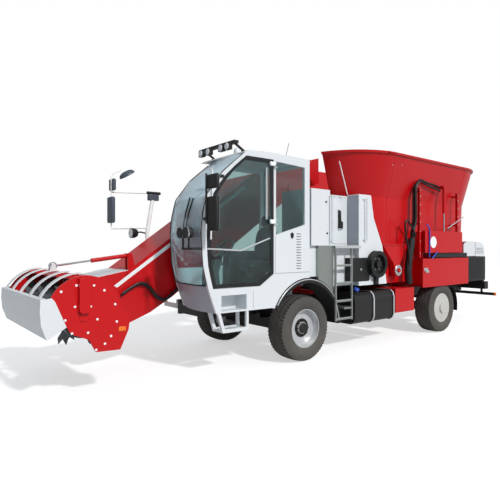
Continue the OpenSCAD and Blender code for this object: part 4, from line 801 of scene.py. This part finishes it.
# Hose reel: a coil of hose between the flanges, a hub with bolts
reelSet = dict(x=0.300, z=1.515, coilR=0.200, coilY=-1.242, coilPitch=0.010, turns=6, perTurn=60, hoseR=0.011,
               flangeY=(-1.328, -1.250), bolts=6, boltRing=0.110, boltY=-1.270, boltR=0.011, boltH=0.010,
               flange=[(0.228, -0.004), (0.240, -0.004), (0.243, 0.0), (0.240, 0.004), (0.228, 0.004)])
t = np.linspace(0, 2 * math.pi * reelSet["turns"], reelSet["perTurn"] * reelSet["turns"])
coil = np.stack([reelSet["x"] + reelSet["coilR"] * np.cos(t),
                 reelSet["coilY"] - reelSet["coilPitch"] * t / (2 * math.pi),
                 reelSet["z"] + reelSet["coilR"] * np.sin(t)], -1)
addTubes("reelHose", [coil], reelSet["hoseR"], hoseRubber, "chassis", "black_plastic", sides=8)
addRevolved("reelFlanges", [(reelSet["flange"], (reelSet["x"], y, reelSet["z"]), "Y")
                            for y in reelSet["flangeY"]],
            mouldedBlack, "chassis", "black_plastic", 60)
reelHub = (reelSet["x"], reelSet["boltY"], reelSet["z"])
addBolts("reelBolts", ringPlaces(reelHub, reelSet["boltRing"], reelSet["bolts"]), "Y", -1, reelSet["boltR"],
         reelSet["boltH"], zincPlate, "chassis")
print("left side dressed")

# Tub: rolled rim, weld seams, bolts, level rod
tubSet = dict(frontX=0.970, rearX=3.700, rimR=1.235, waistR=1.015, floorR=0.975, waistZ=2.80, rimZ=3.65,
              floorZ=1.13, rimEndX=0.72, tubeZ=3.632, tubeR=0.017, tubeOut=0.022, tubeFoot=3.60, seamR=0.003,
              seamOut=0.0005, seamLow=1.20, seamHigh=3.58, frontSeams={-150: 2.55, -120: 2.55, -90: 3.58},
              rearSeams={-90: 1.20, -45: 2.05, 0: 2.05, 45: 2.05, 90: 1.20},
              boltPlaces=[(0.932, 3.413), (1.234, 3.445)],
              bolt=[(1e-4, -0.006), (0.009, -0.005), (0.012, 0.0), (1e-4, 0.003)],
              levelRod=[(-0.545, -1.10, 3.328), (-0.327, -1.10, 2.762)], rodR=0.009)


def tubR(z):
    # Radius of the tub's outside at a height: straight from floor to waist, then flared to the rim
    s = tubSet
    return np.interp(z, [s["floorZ"], s["waistZ"], s["rimZ"] - 0.045],
                     [s["floorR"], s["waistR"], s["rimR"] - 0.008])


def tubSeam(centreX, degrees, low, high):
    # A line up the tub's outside at an angle round one of its half circles
    a = math.radians(degrees)
    z = np.linspace(low, high, 30)
    r = tubR(z) + tubSet["seamOut"]
    return np.stack([centreX + r * math.cos(a), r * math.sin(a), z], -1)


rimOut = tubR(tubSet["tubeFoot"]) + tubSet["tubeOut"]
a = np.radians(np.linspace(-90, 90, 60))
rimBend = np.stack([tubSet["rearX"] + rimOut * np.cos(a), rimOut * np.sin(a)], -1)
rimXs = np.linspace(tubSet["rimEndX"], tubSet["rearX"], 21)
rimLeft = np.stack([rimXs, np.full(21, -rimOut)], -1)
rimRight = np.stack([rimXs[::-1], np.full(21, rimOut)], -1)
rimLine = np.vstack([rimLeft, rimBend[1:-1], rimRight])
rimLine = np.insert(rimLine, 2, tubSet["tubeZ"], axis=1)
addTubes("tubRim", [rimLine], tubSet["tubeR"], redEnamel, "chassis", "red_paint", sides=12)
seams = [tubSeam(tubSet["frontX"], deg, tubSet["seamLow"], high)
         for deg, high in tubSet["frontSeams"].items()]
seams += [tubSeam(tubSet["rearX"], deg, low, tubSet["seamHigh"]) for deg, low in tubSet["rearSeams"].items()]
addTubes("tubSeams", seams, tubSet["seamR"], redEnamel, "chassis", "red_paint", sides=6)
addRevolved("tubBolts", [(tubSet["bolt"], (x, -tubR(z), z), "Y") for x, z in tubSet["boltPlaces"]], zincPlate,
            "chassis", "bare_steel", 16)
addTubes("levelRod", [tubSet["levelRod"]], tubSet["rodR"], plainWhite, "chassis", "white_paint")
print("tub dressed")

# Discharge side: bolts in the rails, hoses, lever, blank disc, rubber band, latch, drive ring
sideSet = dict(railX=(1.875, 3.425), railZ=(2.34, 2.52, 2.70, 2.88, 3.0), lowerZ=(1.70, 1.95, 2.15),
               railY=-1.190, boltR=0.014, boltH=0.004, discAt=(2.276, -1.2505, 1.93),
               disc=[(1e-4, -0.003), (0.118, -0.003), (0.120, -0.0015), (0.120, 0.001), (1e-4, 0.001)],
               ringAt=(1.180, -1.134, 1.37), ringBolts=6, ringBoltR=0.080, ringBoltY=-1.145,
               ring=[(0.050, -0.010), (0.100, -0.012), (0.107, -0.006), (0.107, 0.018), (0.050, 0.018)],
               lever=[(2.844, -1.262, 2.24), (3.525, -1.262, 2.51)], leverR=0.011,
               band=(2.36, 3.76, -1.236, -1.19, 1.596, 1.702),
               latch=[(1.88, 2.02, -1.282, -1.267, 1.335, 1.40), (1.94, 2.06, -1.285, -1.267, 1.30, 1.345)],
               funnelLip=(0.70, 1.55, -1.112, -1.098, 1.862, 1.894))
# Hoses: a bundle of four that drops side by side, a loop, two that cross the rails, and their sleeve
hoseSet = dict(radius=0.019, bundleY=-1.17, bundleStep=[(0, 0), (0.042, 0.01), (0.0, 0.045), (0.045, 0.05)],
               bundleDrop=0.01,
               bundle=[(1.820, 3.164), (1.724, 2.995), (1.724, 2.409), (1.640, 2.141), (1.629, 1.982),
                       (1.535, 1.613), (1.489, 1.351), (1.52, 1.10)],
               single=[(-1.19, [(1.70, 2.05), (1.60, 2.20), (1.49, 2.30), (1.40, 2.37), (1.33, 2.28),
                                (1.36, 2.05), (1.45, 1.75), (1.48, 1.45)]),
                       (-1.15, [(1.820, 3.150), (1.95, 3.195), (2.15, 3.14), (2.45, 3.09), (2.72, 3.05)]),
                       (-1.13, [(1.800, 3.120), (1.98, 3.230), (2.22, 3.19), (2.50, 3.17), (2.74, 3.13)])],
               sleeveY=-1.145, sleeveR=0.072, sleeve=[(1.629, 2.0), (1.545, 1.64), (1.50, 1.36),
                                                      (1.53, 1.10)],
               blueR=0.014,
               blue=[[(1.985, -1.262, 2.29), (2.05, -1.268, 2.26), (2.098, -1.266, 2.15),
                      (2.098, -1.266, 1.90), (2.095, -1.262, 1.62)],
                     [(2.395, -1.262, 1.72), (2.30, -1.266, 1.66), (2.20, -1.262, 1.59)]])
railBolts = [(x, sideSet["railY"], z) for x in sideSet["railX"] for z in sideSet["railZ"]]
railBolts += [(sideSet["railX"][0], sideSet["railY"], z) for z in sideSet["lowerZ"]]
addBolts("railBolts", railBolts, "Y", -1, sideSet["boltR"], sideSet["boltH"], zincPlate, "chassis", sides=8)
addRevolved("blankDisc", [(sideSet["disc"], sideSet["discAt"], "Y")], plainWhite, "discharge_door",
            "white_paint", 60)
hoses = [[(x + dx, hoseSet["bundleY"] + dy, z - hoseSet["bundleDrop"] * k) for x, z in hoseSet["bundle"]]
         for k, (dx, dy) in enumerate(hoseSet["bundleStep"])]
hoses += [[(x, y, z) for x, z in line] for y, line in hoseSet["single"]]
addTubes("sideHoses", hoses, hoseSet["radius"], hoseRubber, "chassis", "black_plastic", sides=12, samples=80)
addTubes("sideSleeve", [[(x, hoseSet["sleeveY"], z) for x, z in hoseSet["sleeve"]]], hoseSet["sleeveR"],
         mouldedBlack, "chassis", "black_plastic", sides=18, samples=30)
addTubes("blueHoses", hoseSet["blue"], hoseSet["blueR"], blueHose, "chassis", None, sides=12, samples=40)
addTubes("lever", [sideSet["lever"]], sideSet["leverR"], wheelSilver, "chassis", "bare_steel")
addBoxes("rubberBand", [sideSet["band"]], hoseRubber, "chassis", "belt_rubber", 0.012)
addBoxes("boxLatch", sideSet["latch"], zincPlate, "chassis", "bare_steel", 0.005)
addRevolved("driveRing", [(sideSet["ring"], sideSet["ringAt"], "Y")], zincPlate, "chassis", "bare_steel", 48)
ringX, ringZ = sideSet["ringAt"][0], sideSet["ringAt"][2]
addBolts("driveBolts", ringPlaces((ringX, sideSet["ringBoltY"], ringZ), sideSet["ringBoltR"],
                                  sideSet["ringBolts"]),
         "Y", -1, 0.009, 0.008, castSteel, "chassis")
addBoxes("funnelLip", [sideSet["funnelLip"]], redEnamel, "chassis", "red_paint", 0.004)
print("discharge side dressed")

# Rear: slats on the radiator box, lamps, ends of the light bar, fairings and ledges round the hood
rearSet = dict(slats=9, slatX=4.30, slatPitch=0.09, slatWide=0.06, slatY=0.990, slatZ=(1.05, 1.55),
               lampX=(5.338, 5.352), lampZ=(0.80, 0.93), lampY=0.84, lampHalf=0.07, flasherY=0.70,
               flasherHalf=0.05, endX=(5.186, 5.254), endY=(1.20, 1.243), endZ=(0.616, 0.694),
               fairing=[(4.12, 1.610), (4.690, 1.610), (4.690, 1.970), (4.330, 1.970), (4.180, 1.930),
                        (4.12, 1.870)],
               fairingY=(0.955, 0.975), ledgeX=(4.38, 4.69), ledgeY=(0.80, 0.956), ledgeZ=(1.955, 1.970),
               hoodSlatX=(4.74, 5.10), hoodSlatY=0.980, hoodSlatZ=(1.68, 1.72, 1.76, 1.80), hoodSlatH=0.010,
               handle=[(5.197, -0.10, 1.66), (5.215, -0.085, 1.66), (5.215, 0.085, 1.66),
                       (5.197, 0.10, 1.66)])
s = rearSet
addBoxes("sideSlats", [(s["slatX"] + s["slatPitch"] * k, s["slatX"] + s["slatWide"] + s["slatPitch"] * k,
                        *aroundLine(side * s["slatY"], 0.003), *s["slatZ"])
                       for k in range(s["slats"]) for side in (-1, 1)], mouldedBlack, "chassis",
                       "black_plastic", 0.002)
addBoxes("rearLamps", [(*s["lampX"], *aroundLine(side * s["lampY"], s["lampHalf"]), *s["lampZ"])
                       for side in (-1, 1)],
         redLens, "chassis", None, 0.006)
addBoxes("rearFlashers", [(*s["lampX"], *aroundLine(side * s["flasherY"], s["flasherHalf"]), *s["lampZ"])
                          for side in (-1, 1)], orangeLens, "chassis", None, 0.006)
addBoxes("barEnds", [(*s["endX"], *acrossSide(side, s["endY"]), *s["endZ"]) for side in (-1, 1)], orangeLens,
         "chassis", None, 0.008)
for sideName, side in sidesOf:
    addSlab("hoodSide" + sideName, s["fairing"], *acrossSide(side, s["fairingY"]), whiteEnamel, "chassis",
            "white_paint", 0.004)
addBoxes("hoodLedges", [(*s["ledgeX"], *acrossSide(side, s["ledgeY"]), *s["ledgeZ"]) for side in (-1, 1)],
         whiteEnamel, "chassis", "white_paint", 0.002)
addBoxes("hoodSlats", [(*s["hoodSlatX"], *aroundLine(side * s["hoodSlatY"], 0.002), z, z + s["hoodSlatH"])
                       for side in (-1, 1) for z in s["hoodSlatZ"]], mouldedBlack, "rear_hood",
                       "black_plastic", 0.0)
addTubes("hoodHandle", [s["handle"]], 0.008, mouldedBlack, "rear_hood", "black_plastic")
print("rear dressed")

# Floor and lights
stageSet = dict(size=60.0, sun=2.6, sunColour=(1.0, 0.975, 0.94), sunTurn=(52, 0, 3), sunDeg=4, behind=0.60,
                ahead=0.38, floorShare=0.55, floorColour="#C9CBCC", skyColour=(0.90, 0.95, 1.0, 1))
reach = stageSet["size"] / 2
floorMesh = bpy.data.meshes.new("floor")
floorMesh.from_pydata([(-reach, -reach, 0), (reach, -reach, 0), (reach, reach, 0), (-reach, reach, 0)], [],
                      [(0, 1, 2, 3)])
floor = bpy.data.objects.new("floor", floorMesh)
scene.collection.objects.link(floor)
# Plain pale floor: it keeps the shadows, and the camera and rays through glass see it lit towards white
floorMaterial = bpy.data.materials.new("paleFloor")
floorMaterial.use_nodes = True
tree = floorMaterial.node_tree
tree.nodes.clear()
rays = addNode(tree, "ShaderNodeLightPath")
seen = addNode(tree, "ShaderNodeMath", {0: rays.outputs["Is Camera Ray"],
                                        1: rays.outputs["Is Transmission Ray"]},
               operation="ADD", use_clamp=True)
diffuse = addNode(tree, "ShaderNodeBsdfDiffuse", {"Color": srgb(stageSet["floorColour"])})
lit = addNode(tree, "ShaderNodeEmission", {"Color": (1, 1, 1, 1), "Strength": stageSet["floorShare"]})
glow = addNode(tree, "ShaderNodeMixShader", {"Fac": seen.outputs["Value"], 2: lit.outputs["Emission"]})
both = addNode(tree, "ShaderNodeAddShader", {0: diffuse.outputs["BSDF"], 1: glow.outputs["Shader"]})
addNode(tree, "ShaderNodeOutputMaterial", {"Surface": both.outputs["Shader"]})
floorMesh.materials.append(floorMaterial)

# World: white to the camera and through glass, and to all other rays, glossy ones too, a dimmer sky that
# is brighter behind the machine than ahead of it
world = bpy.data.worlds.new("studio")
scene.world = world
world.use_nodes = True
tree = world.node_tree
tree.nodes.clear()
rays = addNode(tree, "ShaderNodeLightPath")
seen = addNode(tree, "ShaderNodeMath", {0: rays.outputs["Is Camera Ray"],
                                        1: rays.outputs["Is Transmission Ray"]},
               operation="ADD", use_clamp=True)
direction = addNode(tree, "ShaderNodeTexCoord").outputs["Generated"]
toward = addNode(tree, "ShaderNodeSeparateXYZ", {"Vector": direction})
share = addNode(tree, "ShaderNodeMapRange", {"Value": toward.outputs["X"], "From Min": -1.0, "From Max": 1.0,
                                             "To Min": stageSet["ahead"], "To Max": stageSet["behind"]})
soft = addNode(tree, "ShaderNodeBackground", {"Color": stageSet["skyColour"],
                                              "Strength": share.outputs["Result"]})
plain = addNode(tree, "ShaderNodeBackground", {"Color": (1, 1, 1, 1), "Strength": 1.0})
mixed = addNode(tree, "ShaderNodeMixShader", {"Fac": seen.outputs["Value"], 1: soft.outputs["Background"],
                                              2: plain.outputs["Background"]})
addNode(tree, "ShaderNodeOutputWorld", {"Surface": mixed.outputs["Shader"]})

sunData = bpy.data.lights.new("key", "SUN")
sunData.energy = stageSet["sun"]
sunData.color = stageSet["sunColour"]
sunData.angle = math.radians(stageSet["sunDeg"])
sun = bpy.data.objects.new("key", sunData)
sun.rotation_euler = [math.radians(a) for a in stageSet["sunTurn"]]
scene.collection.objects.link(sun)
print("stage set")
